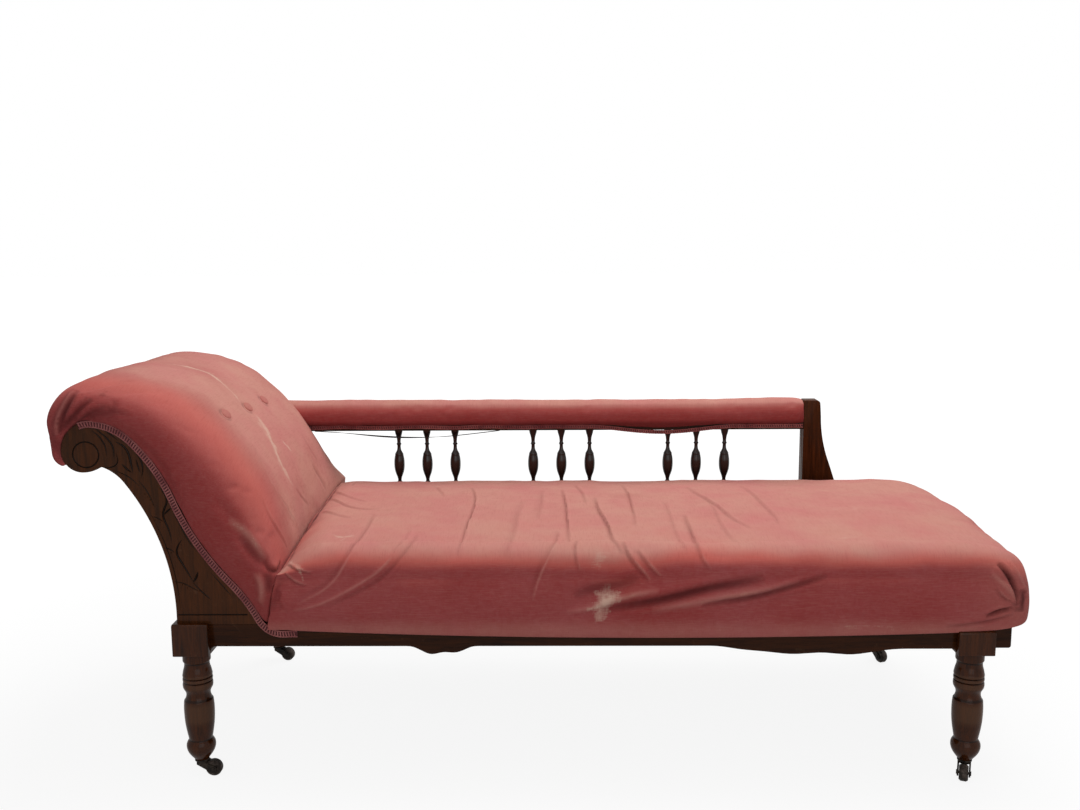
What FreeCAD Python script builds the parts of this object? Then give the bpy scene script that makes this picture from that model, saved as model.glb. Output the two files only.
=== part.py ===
"""A scroll-ended couch with a turned gallery: hardwood frame, sprung and stuffed seat, castors.

Units are millimetres.  X runs from the scroll end to the foot end, Y from the open front to the
gallery at the back, Z up from the floor.  The origin is under the middle of the couch.
"""
import FreeCAD, Part
import math
import os

Vec = FreeCAD.Vector

# Overall sizes
overall_length = 1743.0
frame_depth = 606.0
scroll_reach = 219.0          # scroll padding beyond the frame's head end
foot_reach = 33.0             # seat padding beyond the foot end rail
front_reach = 20.0            # seat padding beyond the front rail

# Heights above the floor
block_base_height = 240.0
rail_base_height = 256.0
rail_top_height = 297.0
seat_edge_height = 438.0
seat_crown_height = 450.0
gallery_base_height = 408.0
arm_base_height = 550.0
arm_top_height = 619.0

# Frame sections
rail_thickness = 41.0
foot_rail_thickness = 38.0
foot_rail_base_height = 251.0
panel_thickness = 30.0
apron_thickness = 14.0
block_size = 65.0
block_proud = 12.0            # how far a leg block stands proud of the rail
head_block_top = 300.0
foot_block_top = 285.0
head_leg_inset = 25.0         # leg axis from the frame's head end
foot_leg_inset = 64.0         # leg axis from the frame's foot end

# Clearances
rest_gap = 0.4                # soft pieces and sheets beside their neighbours
running_gap = 0.08            # pins in turning bores
face_gap = 0.25               # flat faces that turn past each other
joint_gap = 0.05              # dowels and stems in their holes

# Gallery
gallery_inset = 20.5          # the gallery's middle line from the frame's back face
arm_rail_width = 38.0
arm_rail_height = 22.0
arm_pad_width = 62.0
arm_pad_lap = 9.0             # padding turned down over the sides of the arm rail
lower_rail_width = 34.0
lower_rail_height = 20.0
post_thickness = 38.0
post_top_width = 37.0
post_foot_width = 110.0
post_inset = 251.0            # the post's gallery edge from the frame's foot end
spindle_groups = 3
spindles_per_group = 3
spindle_pitch = 64.5
group_pitch = 307.5
last_group_inset = 239.0      # the last group's middle spindle from the post
spindle_tenon_radius = 5.0
spindle_tenon_length = 11.0
rail_tenon_length = 16.0
rail_tenon_thickness = 12.0

# Trim
gimp_width = 9.0
gimp_thickness = 2.4
gimp_sag = 14.0
sheet_thickness = 1.4
button_radius = 10.0
button_height = 6.0
button_sink = 4.0

# Springs and webbing
spring_rows = 3
spring_columns = 5
spring_end_radius = 38.0
spring_waist_radius = 25.0
spring_turns = 3
spring_steps_per_turn = 6
spring_wire = 4.0
strap_width = 52.0
strap_thickness = 1.2
spring_top_height = 370.0
spring_edge_margin = 62.0     # stuffing wall between the springs and the frame's outer face

# Castors
wheel_radius = 15.0
wheel_width = 16.0
wheel_bore_radius = 2.6
wheel_top_room = 3.0          # from the wheel's top to the foot of the leg
castor_plate_radius = 13.0
castor_plate_thickness = 2.7
hub_radius = 10.0
hub_height = 5.0
pintle_radius = 4.0
stem_length = 30.0
rivet_radius = 6.0
rivet_height = 2.2
cheek_thickness = 3.0
cheek_clearance = 0.6
wheel_hub_room = 7.0          # how much further the axle trails than the wheel's radius

# Places that follow from the sizes above
leg_base_height = 2 * wheel_radius + wheel_top_room
castor_trail = wheel_radius + wheel_hub_room
frame_head = -overall_length / 2 + scroll_reach
frame_foot = overall_length / 2 - foot_reach
frame_face = frame_depth / 2
rail_inside = frame_face - rail_thickness
panel_inside = frame_face - panel_thickness
head_leg_x = frame_head + head_leg_inset
foot_leg_x = frame_foot - foot_leg_inset
leg_y = frame_face + block_proud - block_size / 2
foot_rail_inside = frame_foot - foot_rail_thickness
arm_y = frame_face - gallery_inset
post_head_edge = frame_foot - post_inset
seat_back_face = min(rail_inside, arm_y - post_thickness / 2) - 4.0


def place(x, z, y=0.0):
    """A point of the side view, measured from the head end of the frame at the top of the rails."""
    return Vec(frame_head + x, y, rail_top_height + z)


def box(x0, x1, y0, y1, z0, z1):
    return Part.makeBox(x1 - x0, y1 - y0, z1 - z0, Vec(x0, y0, z0))


def heading(angle):
    return Vec(math.cos(math.radians(angle)), 0, math.sin(math.radians(angle)))


def left_of(angle):
    return heading(angle + 90)


def tangent_arc(start, angle, end):
    """The arc in the XZ plane that leaves start at this angle and reaches end, and its last angle."""
    chord = end - start
    turn = 2 * (math.degrees(math.atan2(chord.z, chord.x)) - angle)
    turn = (turn + 180) % 360 - 180
    if abs(turn) < 0.05:
        return Part.LineSegment(start, end).toShape(), angle
    reach = chord.Length / 2 / math.cos(math.radians(turn / 4))
    middle = start + heading(angle + turn / 4) * reach
    return Part.Arc(start, middle, end).toShape(), angle + turn


class Chain:
    """Tangent arcs through a few points of the side view; each arc goes on where the last one ended."""

    def __init__(self, points, angle):
        self.points = [Vec(p) for p in points]
        self.angles = [angle]
        self.edges = []
        for start, end in zip(self.points, self.points[1:]):
            edge, last = tangent_arc(start, self.angles[-1], end)
            self.edges.append(edge)
            self.angles.append(last)

    def offset(self, distance):
        """The same line moved to its left by distance, at every arc's end."""
        moved = [p + left_of(a) * distance for p, a in zip(self.points, self.angles)]
        return Chain(moved, self.angles[0])

    def along(self, index, share):
        """A point on one of the arcs."""
        edge = self.edges[index]
        low, high = edge.ParameterRange
        return edge.valueAt(low + (high - low) * share)

    def start(self):
        return self.points[0]

    def end(self):
        return self.points[-1]


def line(a, b):
    return Part.LineSegment(a, b).toShape()


def face_of(edges):
    return Part.Face(Part.Wire(Part.__sortEdges__(edges)))


def slab(edges, y0, y1):
    """A flat board whose outline lies in the XZ plane, from y0 to y1."""
    board = face_of(edges)
    board.translate(Vec(0, y0, 0))
    return board.extrude(Vec(0, y1 - y0, 0))


def strip(chain, near, far, y0, y1):
    """A bent board between two offsets of one line."""
    inner = chain.offset(near)
    outer = chain.offset(far)
    edges = inner.edges + outer.edges
    edges += [line(inner.start(), outer.start()), line(inner.end(), outer.end())]
    return slab(edges, y0, y1)


def ring(x, y, z, radius, sides):
    """The corners of a level, many-sided ring."""
    step = 2 * math.pi / sides
    return [Vec(x + radius * math.cos(i * step), y + radius * math.sin(i * step), z) for i in range(sides)]


def turned(outline, x, y, sides):
    """A turned piece from its outline of (height, radius) points, kept light with a set number of sides."""
    rings = [ring(x, y, z, r, sides) for z, r in outline]
    faces = [Part.Face(Part.makePolygon(end + end[:1])) for end in (rings[0], rings[-1])]
    for low, high in zip(rings, rings[1:]):
        for i in range(sides):
            j = (i + 1) % sides
            corners = [low[i], low[j], high[j], high[i]]
            faces.append(Part.Face(Part.makePolygon(corners + corners[:1])))
    solid = Part.Solid(Part.Shell(faces))
    if solid.Volume < 0:
        solid.reverse()
    return solid


def mirrored_back(shape):
    return shape.mirror(Vec(0, 0, 0), Vec(0, 1, 0))


# Lines of the scroll, in the side view

volute_low = place(-153, 279)
volute_left = place(-187, 311)
volute_top = place(-129, 369)
volute_eye = place(-144, 311)
scroll_cusp = place(-118, 289)
panel_edge = Chain([volute_top, place(-62, 337), place(6, 233), place(103, 79), place(156, 0)], -6)
back_sweep = Chain([place(0, 0), place(0, 20), place(-80, 261), scroll_cusp], 90)
volute_line = Chain([volute_top, volute_left, volute_low, scroll_cusp], 174)
pad_end_inside = volute_line.along(1, 0.40)


def head_panel():
    """One scroll side: a board cut to the scroll, with the volute's eye and the plinth line cut in."""
    edges = back_sweep.edges + volute_line.edges + panel_edge.edges
    edges.append(line(panel_edge.end(), back_sweep.start()))
    panel = slab(edges, -frame_face, -panel_inside)
    groove_width = 2.2
    groove_depth = 2.0
    eye_radius = 24.0
    ring = Part.makeCylinder(eye_radius, groove_depth, volute_eye, Vec(0, 1, 0))
    ring = ring.cut(Part.makeCylinder(eye_radius - groove_width, groove_depth, volute_eye, Vec(0, 1, 0)))
    ring.translate(Vec(0, -frame_face, 0))
    plinth_height = 17.0
    plinth = place(3, plinth_height)
    plinth_end = place(128, plinth_height)
    groove = box(plinth.x, plinth_end.x, -frame_face, -frame_face + groove_depth,
                 plinth.z, plinth.z + groove_width)
    panel = panel.cut(ring).cut(groove)
    return panel


def head_roll_rail():
    """The shaped rail between the two volutes that the padding rolls over."""
    skin = 4.0
    over = Chain(volute_line.points[:3], volute_line.angles[0]).offset(skin)
    edges = over.edges + [line(over.end(), over.start())]
    return slab(edges, -panel_inside, panel_inside)


def head_lumbar_rail():
    foot = place(82, 0)
    head = place(118, 40)
    return box(foot.x, head.x, -panel_inside, panel_inside, foot.z, head.z)


def head_hessian():
    """Webbing and hessian stretched between the scroll sides, under the padding."""
    sheet = strip(panel_edge, -sheet_thickness - rest_gap, -rest_gap,
                  -panel_inside + rest_gap, panel_inside - rest_gap)
    return sheet.cut(box(frame_head, frame_foot, -frame_face, frame_face, 0, rail_top_height + rest_gap))


def head_outside_back():
    """The covered board that closes the back of the scroll between its sides."""
    inset = 2.0
    board = 4.0
    sweep = Chain([place(0, 2), place(0, 20), place(-80, 261)], 90)
    return strip(sweep, -inset - board, -inset, -panel_inside + rest_gap, panel_inside - rest_gap)


# Pairs of places under and on the padding, from the crease up over the scroll to its tucked end
pad_spans = [
    (place(112, 62), place(192, 138)),
    (place(10, 215), place(115, 266)),
    (place(-38, 305), place(22, 376)),
    (place(-91, 357), place(-74, 425)),
    (place(-150, 366), place(-158, 434)),
    (place(-182, 335), place(-214, 374)),
    (place(-187, 311), place(-208, 313)),
    (pad_end_inside, pad_end_inside + Vec(-9, 0, -2)),
]
crease_foot = place(166, 0)
pad_crown = 1.12              # the padding's fullness along the middle

# Each button's place across the scroll, and up the padding's long front arc as a share of it
button_row = [(-153.0, 0.72), (-35.0, 0.68), (81.0, 0.66)]


def pad_skin(fullness):
    """The line of the padding's cover where it has this much of its thickness."""
    return Chain([under + (over - under) * fullness for under, over in pad_spans], 121)


def pad_section(y, fullness):
    """The padding's outline in the plane at y."""
    inside = panel_edge.offset(rest_gap)
    volute = Chain([volute_top, volute_left, pad_end_inside], volute_line.angles[0]).offset(-rest_gap)
    skin = pad_skin(fullness)
    foot = crease_foot + Vec(0, 0, rest_gap)
    edges = [line(inside.end(), foot), line(foot, skin.start())]
    edges += skin.edges
    edges.append(line(skin.end(), volute.end()))
    edges += volute.edges
    edges += inside.edges
    wire = Part.Wire(Part.__sortEdges__(edges))
    wire.translate(Vec(0, y, 0))
    return wire


def button_seats():
    """Where the buttons draw the padding in, each with the direction out of the padding."""
    edge = pad_skin(pad_crown).edges[1]
    low, high = edge.ParameterRange
    seats = []
    for y, share in button_row:
        middle = low + (high - low) * share
        along = edge.tangentAt(middle)
        out = Vec(along.z, 0, -along.x)
        if out.x < 0:
            out = out * -1
        seats.append((edge.valueAt(middle) + Vec(0, y, 0), out))
    return seats


def head_pad():
    """The scroll's padding, full along the middle and rolled over at both sides."""
    roll = frame_face + 3.0
    half = [(roll - 72, pad_crown), (roll - 26, pad_crown - 0.07),
            (roll - 7, pad_crown - 0.17), (roll, pad_crown - 0.30)]
    stations = [(-y, k) for y, k in reversed(half)] + half
    pad = Part.makeLoft([pad_section(y, k) for y, k in stations], True, True)
    arm_notch = box(frame_head - 60, post_head_edge, arm_y - arm_pad_width / 2 - rest_gap,
                    frame_face + block_proud * 2, arm_base_height - rest_gap, arm_top_height + rest_gap)
    lower_notch = box(frame_head, post_head_edge, arm_y - lower_rail_width / 2 - rest_gap,
                      frame_face + block_proud * 2,
                      gallery_base_height - lower_rail_height - rest_gap, gallery_base_height + rest_gap)
    pad = pad.cut(arm_notch).cut(lower_notch).cut(crease_block(-0.2, 1))
    for seat, out in button_seats():
        pad = pad.cut(Part.makeCylinder(button_radius + rest_gap, 40, seat - out * button_sink, out))
    return pad


def crease_block(shift, side):
    """A big block on one side of the slanted line where the seat meets the scroll's padding."""
    slope = pad_spans[0][1] - crease_foot
    slope = slope * (1 / slope.z)
    foot = crease_foot + Vec(1.0 + shift, 0, 0)
    top = foot + slope * 260
    low = foot - slope * 30
    reach = Vec(3 * scroll_reach * side, 0, 0)
    edges = [line(low, top), line(top, top + reach), line(top + reach, low + reach), line(low + reach, low)]
    return slab(edges, -frame_depth, frame_depth)


# Seat

def seat_section(x, drop, draw_in, skirt):
    """The seat's outline across the couch at x.  drop lowers its top, draw_in pulls its sides in."""
    front = -frame_face - 0.4
    edge = -frame_face - 7.0 + draw_in * 0.6
    bulge = -frame_face - front_reach + draw_in
    back = seat_back_face - draw_in
    top = seat_edge_height - drop
    crown = seat_crown_height - drop
    deck = rail_top_height + rest_gap
    side_top = deck + (top - deck) * 0.64
    p = {
        "skirt_in": (front + draw_in * 0.6, skirt), "skirt_out": (edge, skirt),
        "bulge": (bulge, skirt + (side_top - skirt) * 0.5), "side_top": (bulge + 4, side_top),
        "roll": (bulge + 16, top - (top - side_top) * 0.27), "edge": (bulge + 60, top),
        "crown": ((bulge + back) / 2, crown), "back_edge": (back - 38, top + 3),
        "back_roll": (back - 11, top - 4), "back_side": (back, top - 32), "back_foot": (back, deck),
        "front_foot": (front + draw_in * 0.6, deck),
    }
    v = {name: Vec(x, y, z) for name, (y, z) in p.items()}
    edges = [
        line(v["skirt_in"], v["skirt_out"]),
        Part.Arc(v["skirt_out"], v["bulge"], v["side_top"]).toShape(),
        Part.Arc(v["side_top"], v["roll"], v["edge"]).toShape(),
        Part.Arc(v["edge"], v["crown"], v["back_edge"]).toShape(),
        Part.Arc(v["back_edge"], v["back_roll"], v["back_side"]).toShape(),
        line(v["back_side"], v["back_foot"]),
        line(v["back_foot"], v["front_foot"]),
        line(v["front_foot"], v["skirt_in"]),
    ]
    return Part.Wire(edges)


def spring_well():
    """The hollow in the seat's stuffing that holds the springs: low and high corner."""
    margin = spring_edge_margin
    low = Vec(crease_foot.x + margin, -frame_face + margin, rail_top_height)
    last_spring = foot_leg_x - block_size / 2 - strap_width / 2 - 2.0
    high = Vec(last_spring + spring_end_radius + spring_wire, seat_back_face - margin / 2,
               spring_top_height + sheet_thickness)
    return low, high


def seat_pad():
    """The seat's stuffing and cover: crowned, rolled at the front and at the foot, over a spring well."""
    skirt = rail_top_height - 24
    foot = frame_foot + foot_reach
    body_end = foot - 140
    head = crease_foot.x - 20
    prism = Part.Face(seat_section(head, 0, 0, skirt)).extrude(Vec(body_end - head, 0, 0))
    end = [(body_end, 0, 0, skirt), (foot - 84, 5, 0, skirt + 2), (foot - 44, 14, 1, skirt + 6),
           (foot - 18, 30, 9, skirt + 14), (foot - 5, 55, 22, skirt + 20), (foot, 80, 36, skirt + 22)]
    pad = prism.fuse(Part.makeLoft([seat_section(*s) for s in end], True, True))
    over_rails = box(frame_head, frame_foot + rest_gap, -frame_face - rest_gap, frame_depth,
                     0, rail_top_height + rest_gap)
    overhang = box(frame_foot - 1, foot + 10, -frame_depth, frame_depth, 0, rail_top_height + 7)
    low, high = spring_well()
    well = box(low.x, high.x, low.y, high.y, low.z - 1, high.z + rest_gap)
    half = block_size / 2 + 2.0
    block_room = box(foot_leg_x - half, foot_leg_x + half, -frame_depth, -frame_face,
                     0, foot_block_top + rest_gap)
    for room in (over_rails, overhang, well, block_room, skirt_line(), crease_block(0.2, -1)):
        pad = pad.cut(room)
    return pad


def skirt_line():
    """A block below the bowed lower edge of the cover along the front rail."""
    corner = place(158, 2)
    head = place(182, -9)
    middle = Vec((head.x + frame_foot) / 2 + 150, 0, rail_top_height - 24)
    foot = Vec(frame_foot + 5, 0, rail_top_height - 12)
    low = rail_top_height - 80
    edges = [Part.Arc(head, middle, foot).toShape(), line(foot, Vec(foot.x, 0, low)),
             line(Vec(foot.x, 0, low), Vec(corner.x - 60, 0, low)),
             line(Vec(corner.x - 60, 0, low), Vec(corner.x - 60, 0, corner.z)),
             line(Vec(corner.x - 60, 0, corner.z), corner), line(corner, head)]
    return slab(edges, -frame_depth, -frame_face + 1)


def spring_grid():
    low, high = spring_well()
    reach = spring_end_radius + spring_wire
    xs = [low.x + reach + i * (high.x - low.x - 2 * reach) / (spring_columns - 1)
          for i in range(spring_columns)]
    ys = [low.y + reach + j * (high.y - low.y - 2 * reach) / (spring_rows - 1) for j in range(spring_rows)]
    return xs, ys


def one_spring():
    """A waisted coil, from the webbing to the hessian, as one unbroken tube."""
    base = rail_base_height + spring_wire / 2 + rest_gap / 2
    height = spring_top_height - spring_wire / 2 - rest_gap / 2 - base
    steps = spring_turns * spring_steps_per_turn
    half = spring_wire / 2
    sections = []
    for i in range(steps + 1):
        t = i / steps
        a = 2 * math.pi * spring_turns * t
        pinch = (1 - (2 * t - 1) ** 2) * (spring_end_radius - spring_waist_radius)
        radius = spring_end_radius - pinch
        out = Vec(math.cos(a), math.sin(a), 0)
        middle = out * radius + Vec(0, 0, base + height * t)
        up = Vec(0, 0, half)
        corners = [middle + out * half, middle - out * half + up, middle - out * half - up]
        sections.append(corners)
    faces = [Part.Face(Part.makePolygon(end + end[:1])) for end in (sections[0], sections[-1])]
    for low, high in zip(sections, sections[1:]):
        for i in range(3):
            j = (i + 1) % 3
            for corners in ((low[i], low[j], high[j]), (low[i], high[j], high[i])):
                faces.append(Part.Face(Part.makePolygon([*corners, corners[0]])))
    solid = Part.Solid(Part.Shell(faces))
    if solid.Volume < 0:
        solid.reverse()
    return solid


def seat_springs():
    spring = one_spring()
    xs, ys = spring_grid()
    coils = []
    for x in xs:
        for y in ys:
            coil = spring.copy()
            coil.translate(Vec(x, y, 0))
            coils.append(coil)
    return Part.makeCompound(coils)


def seat_webbing():
    """Jute straps under the rails: long ones against the rails, cross ones under them."""
    xs, ys = spring_grid()
    top = rail_base_height
    under = top - strap_thickness
    straps = [box(frame_head + 2, foot_rail_inside - face_gap, y - strap_width / 2, y + strap_width / 2,
                  under, top) for y in ys]
    apron_inside = -frame_face + apron_thickness + 1.0
    straps += [box(x - strap_width / 2, x + strap_width / 2, apron_inside, frame_face - 2,
                   under - strap_thickness, under) for x in xs]
    return Part.makeCompound(straps)


def spring_hessian():
    low, high = spring_well()
    return box(low.x + rest_gap, high.x - rest_gap, low.y + rest_gap, high.y - rest_gap,
               spring_top_height, spring_top_height + sheet_thickness)


def bottom_lining():
    """The lining cloth tacked under the frame, cut away round the leg blocks."""
    top = rail_base_height - 2 * strap_thickness - 0.1
    sheet = box(frame_head + 2, foot_rail_inside - face_gap, -frame_face + apron_thickness + 1.0,
                frame_face - 2, top - 0.9, top)
    half = block_size / 2 + 1.0
    for x in (head_leg_x, foot_leg_x):
        for y in (-leg_y, leg_y):
            sheet = sheet.cut(box(x - half, x + half, y - half, y + half, top - 5, top + 5))
    return sheet


# Rails

def apron_line():
    """The shaped lower edge of the front rail, from the head leg block to the foot leg block."""
    z0 = rail_base_height
    cove = 11.0
    head = head_leg_x + block_size / 2
    foot = foot_leg_x - block_size / 2
    head_drop = head + 355.0
    foot_drop = foot - 438.0
    y = -frame_face
    edges = [Part.Arc(Vec(head, y, z0 - cove), Vec(head + cove * 0.3, y, z0 - cove * 0.3),
                      Vec(head + cove, y, z0)).toShape()]

    def sweep(x0, heights, pitch):
        points = [Vec(x0 + i * pitch, y, z0 - h) for i, h in enumerate(heights)]
        curve = Part.BSplineCurve()
        curve.interpolate(points, InitialTangent=Vec(1, 0, 0), FinalTangent=Vec(1, 0, 0))
        return curve.toShape(), points[0], points[-1]

    first, first_start, first_end = sweep(head_drop, (0, 6, 15, 11.5, 12, 4, 0), 22.0)
    second, second_start, second_end = sweep(foot_drop, (0, 6, 11, 15.5, 13, 16.5, 10, 6), 50.0)
    edges.append(line(Vec(head + cove, y, z0), first_start))
    edges += [first, line(first_end, second_start), second]
    low = second_end.z
    edges.append(line(second_end, Vec(foot - cove, y, low)))
    edges.append(Part.Arc(Vec(foot - cove, y, low), Vec(foot - cove * 0.3, y, low - cove * 0.2),
                          Vec(foot, y, low - cove * 0.7)).toShape())
    return edges, Vec(head, y, z0 - cove), Vec(foot, y, low - cove * 0.7)


def front_seat_rail():
    """The front rail: a square-section member with the shaped apron worked along its face."""
    beam = box(frame_head, foot_rail_inside, -frame_face, -rail_inside, rail_base_height, rail_top_height)
    edges, head, foot = apron_line()
    top_head = Vec(head.x, head.y, rail_base_height + 5)
    top_foot = Vec(foot.x, foot.y, rail_base_height + 5)
    edges = edges + [line(foot, top_foot), line(top_foot, top_head), line(top_head, head)]
    apron = face_of(edges).extrude(Vec(0, apron_thickness, 0))
    return beam.fuse(apron).removeSplitter()


def back_seat_rail():
    return box(frame_head, foot_rail_inside, rail_inside, frame_face, rail_base_height, rail_top_height)


def head_end_rail():
    return box(frame_head, frame_head + rail_thickness, -rail_inside, rail_inside,
               rail_base_height, rail_top_height)


def foot_end_rail():
    rail = box(foot_rail_inside, frame_foot, -frame_face, frame_face, foot_rail_base_height, rail_top_height)
    low_edges = [e for e in rail.Edges if abs(e.CenterOfMass.z - foot_rail_base_height) < 0.1
                 and e.CenterOfMass.x > frame_foot - 0.1]
    return rail.makeFillet(5.0, low_edges)


# Legs

# Height of each turn of the leg above its foot, and radius there
leg_outline = [(0, 12), (7, 17.6), (16, 23.4), (25, 26), (33, 25.2), (39, 22), (43, 21.2), (65, 25.2),
               (90, 27), (113, 26.2), (117, 25), (118, 23.8), (129, 21.6), (137, 24.8), (140, 26.4),
               (150, 26.4), (151.5, 25), (153, 26.4), (158, 26.4), (159.5, 25), (161, 26.4), (166, 26.4),
               (174, 24.6), (183, 22.4), (193, 24.6)]
leg_turned_height = 207.0     # what the outline's heights are drawn for
leg_sides = 24


def leg(x, y, block_top):
    """A turned leg whose square block is saddled over the rails, bored for its castor's stem."""
    stretch = (block_base_height - leg_base_height) / leg_turned_height
    outline = [(leg_base_height + z * stretch, r) for z, r in leg_outline]
    outline.append((block_base_height, leg_outline[-1][1]))
    shaft = turned(outline, x, y, leg_sides)
    half = block_size / 2
    block = box(x - half, x + half, y - half, y + half, block_base_height, block_top)
    chamfer = 3.0
    outside = y + math.copysign(half, y)
    top_edges = [e for e in block.Edges if abs(e.CenterOfMass.z - block_top) < 0.1
                 and abs(e.CenterOfMass.y - outside) < 0.1]
    block = block.makeChamfer(chamfer, top_edges)
    body = shaft.fuse(block).removeSplitter()
    stem_room = Part.makeCylinder(pintle_radius + joint_gap, stem_length + 1, Vec(x, y, leg_base_height - 1))
    return body.cut(stem_room)


def saddled(body, rails):
    """A leg with room cut for the rails that its block is fitted over, and for what stands on them."""
    over_rails = box(frame_head, frame_foot, -frame_face, frame_face, rail_top_height, rail_top_height + 50)
    for piece in rails + [over_rails]:
        body = body.cut(piece)
    solids = sorted(body.Solids, key=lambda s: s.Volume)
    return solids[-1]


# Gallery

def spindle_places():
    last = post_head_edge - last_group_inset
    places = []
    for group in range(spindle_groups):
        middle = last - (spindle_groups - 1 - group) * group_pitch
        for i in range(spindles_per_group):
            places.append(middle + (i - (spindles_per_group - 1) / 2) * spindle_pitch)
    return places


# Height above the spindle's foot as a share of half its length, and radius there
spindle_outline = [(0.0, 9.0), (0.14, 7.4), (0.34, 4.2), (0.44, 4.1), (0.47, 5.6), (0.50, 4.1),
                   (0.57, 4.3), (0.68, 8.0), (0.74, 9.2), (1.0, 10.5)]
spindle_sides = 16


def spindle(x):
    """A turned spindle, alike at both ends, with a tenon for each rail."""
    bottom = gallery_base_height
    top = arm_base_height
    half = (top - bottom) / 2
    outline = [(bottom + half * share, r) for share, r in spindle_outline]
    outline += [(top - half * share, r) for share, r in reversed(spindle_outline[:-1])]
    body = turned(outline, x, arm_y, spindle_sides)
    tenon = spindle_tenon_length
    for z in (bottom - tenon, top):
        end = turned([(z, spindle_tenon_radius), (z + tenon, spindle_tenon_radius)], x, arm_y, spindle_sides)
        body = body.fuse(end)
    return body


def spindle_holes(rail, face, up):
    """The rail bored for every spindle's tenon."""
    depth = spindle_tenon_length + 1
    for x in spindle_places():
        foot = face if up else face - depth
        radius = spindle_tenon_radius + joint_gap
        rail = rail.cut(turned([(foot, radius), (foot + depth, radius)], x, arm_y, spindle_sides))
    return rail


def panel_mortise_x(height):
    """Where the scroll side's edge stands at this height."""
    for edge in panel_edge.edges:
        ends = sorted(v.Point.z for v in edge.Vertexes)
        if ends[0] <= height <= ends[1]:
            level = Part.makeLine(Vec(-overall_length, 0, height), Vec(overall_length, 0, height))
            return edge.distToShape(level)[1][0][0].x
    return panel_edge.end().x


def gallery_rail(z0, z1, width):
    """A rail between the back scroll side and the end post, tenoned into both."""
    head = max(panel_mortise_x(z0), panel_mortise_x(z1)) + rest_gap
    body = box(head, post_head_edge, arm_y - width / 2, arm_y + width / 2, z0, z1)
    half = rail_tenon_thickness / 2
    inset = (z1 - z0) * 0.2
    slack = rail_tenon_length * 2
    tenon = box(head - slack, post_head_edge + rail_tenon_length, arm_y - half, arm_y + half,
                z0 + inset, z1 - inset)
    return body.fuse(tenon).removeSplitter()


def arm_rail():
    rail = gallery_rail(arm_base_height, arm_base_height + arm_rail_height, arm_rail_width)
    return spindle_holes(rail, arm_base_height, True)


def gallery_lower_rail():
    rail = gallery_rail(gallery_base_height - lower_rail_height, gallery_base_height, lower_rail_width)
    return spindle_holes(rail, gallery_base_height, False)


def arm_end_post():
    """The bracket-shaped post at the foot end of the gallery, tenoned on the back rail."""
    top = arm_top_height - 4
    x0 = post_head_edge
    x1 = x0 + post_top_width
    foot = x0 + post_foot_width
    corner = 8.0
    y = 0.0
    points = [Vec(x0, y, rail_top_height), Vec(x0, y, top - 2), Vec(x0 + 2, y, top)]
    shoulder = Vec(x1 - corner, y, top)
    neck = Vec(x1, y, top - corner)
    hip = Vec(x1 + 2, y, top - 36)
    waist = Vec(x1 + (foot - x1) * 0.28, y, rail_top_height + (top - rail_top_height) * 0.57)
    toe = Vec(foot, y, rail_top_height)
    bow, angle = tangent_arc(hip, -89, waist)
    edges = [line(points[0], points[1]), line(points[1], points[2]), line(points[2], shoulder),
             tangent_arc(shoulder, 0, neck)[0], line(neck, hip), bow,
             tangent_arc(waist, angle, toe)[0], line(toe, points[0])]
    return slab(edges, arm_y - post_thickness / 2, arm_y + post_thickness / 2)


def arm_pad():
    """The arm's stuffed roll: a rounded section over the arm rail, closed at its ends."""
    low = arm_base_height + arm_rail_height - arm_pad_lap
    half = arm_pad_width / 2
    y = arm_y
    head = panel_mortise_x(low - arm_pad_lap) + rest_gap
    foot = post_head_edge - rest_gap
    foot_inset = arm_rail_width / 2 + 6
    waist = low + (arm_top_height - low) * 0.42
    shoulder = low + (arm_top_height - low) * 0.86

    def section(x, swell):
        front = -half * swell
        edges = [
            Part.Arc(Vec(x, y - foot_inset, low), Vec(x, y + front, waist),
                     Vec(x, y + front * 0.72, shoulder)).toShape(),
            Part.Arc(Vec(x, y + front * 0.72, shoulder), Vec(x, y, arm_top_height - (1 - swell) * 40),
                     Vec(x, y - front * 0.72, shoulder)).toShape(),
            Part.Arc(Vec(x, y - front * 0.72, shoulder), Vec(x, y - front, waist),
                     Vec(x, y + foot_inset, low)).toShape(),
            line(Vec(x, y + foot_inset, low), Vec(x, y - foot_inset, low)),
        ]
        return Part.Wire(edges)

    stations = [(head, 1.0), (foot - 26, 1.0), (foot - 9, 0.98), (foot, 0.91)]
    roll = Part.makeLoft([section(x, k) for x, k in stations], True, True)
    room = box(head - 10, foot + 10, y - arm_rail_width / 2 - rest_gap, y + arm_rail_width / 2 + rest_gap,
               low - 10, arm_base_height + arm_rail_height + rest_gap)
    return roll.cut(room)


# Trim

def head_gimp():
    """Braid on the front scroll side's face, down the padded edge and along the rail to the seat."""
    share = 0.3
    lead_in = volute_line.along(0, share)
    turn = (volute_line.angles[1] - volute_line.angles[0]) * share
    route = Chain([lead_in] + panel_edge.points, volute_line.angles[0] + turn - 180)
    upper = route.offset(-rest_gap / 2)
    lower = route.offset(-gimp_width)
    bend = place(178, -13)
    tail = place(224, -13)
    drop = Vec(0, 0, -gimp_width)
    edges = upper.edges + lower.edges
    corners = [upper.end(), bend, tail, tail + drop, bend + drop + Vec(-5, 0, 0), lower.end()]
    edges += [line(a, b) for a, b in zip(corners, corners[1:])]
    edges.append(line(upper.start(), lower.start()))
    y = -frame_face - gimp_thickness - 0.1
    return slab(edges, y, y + gimp_thickness)


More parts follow.
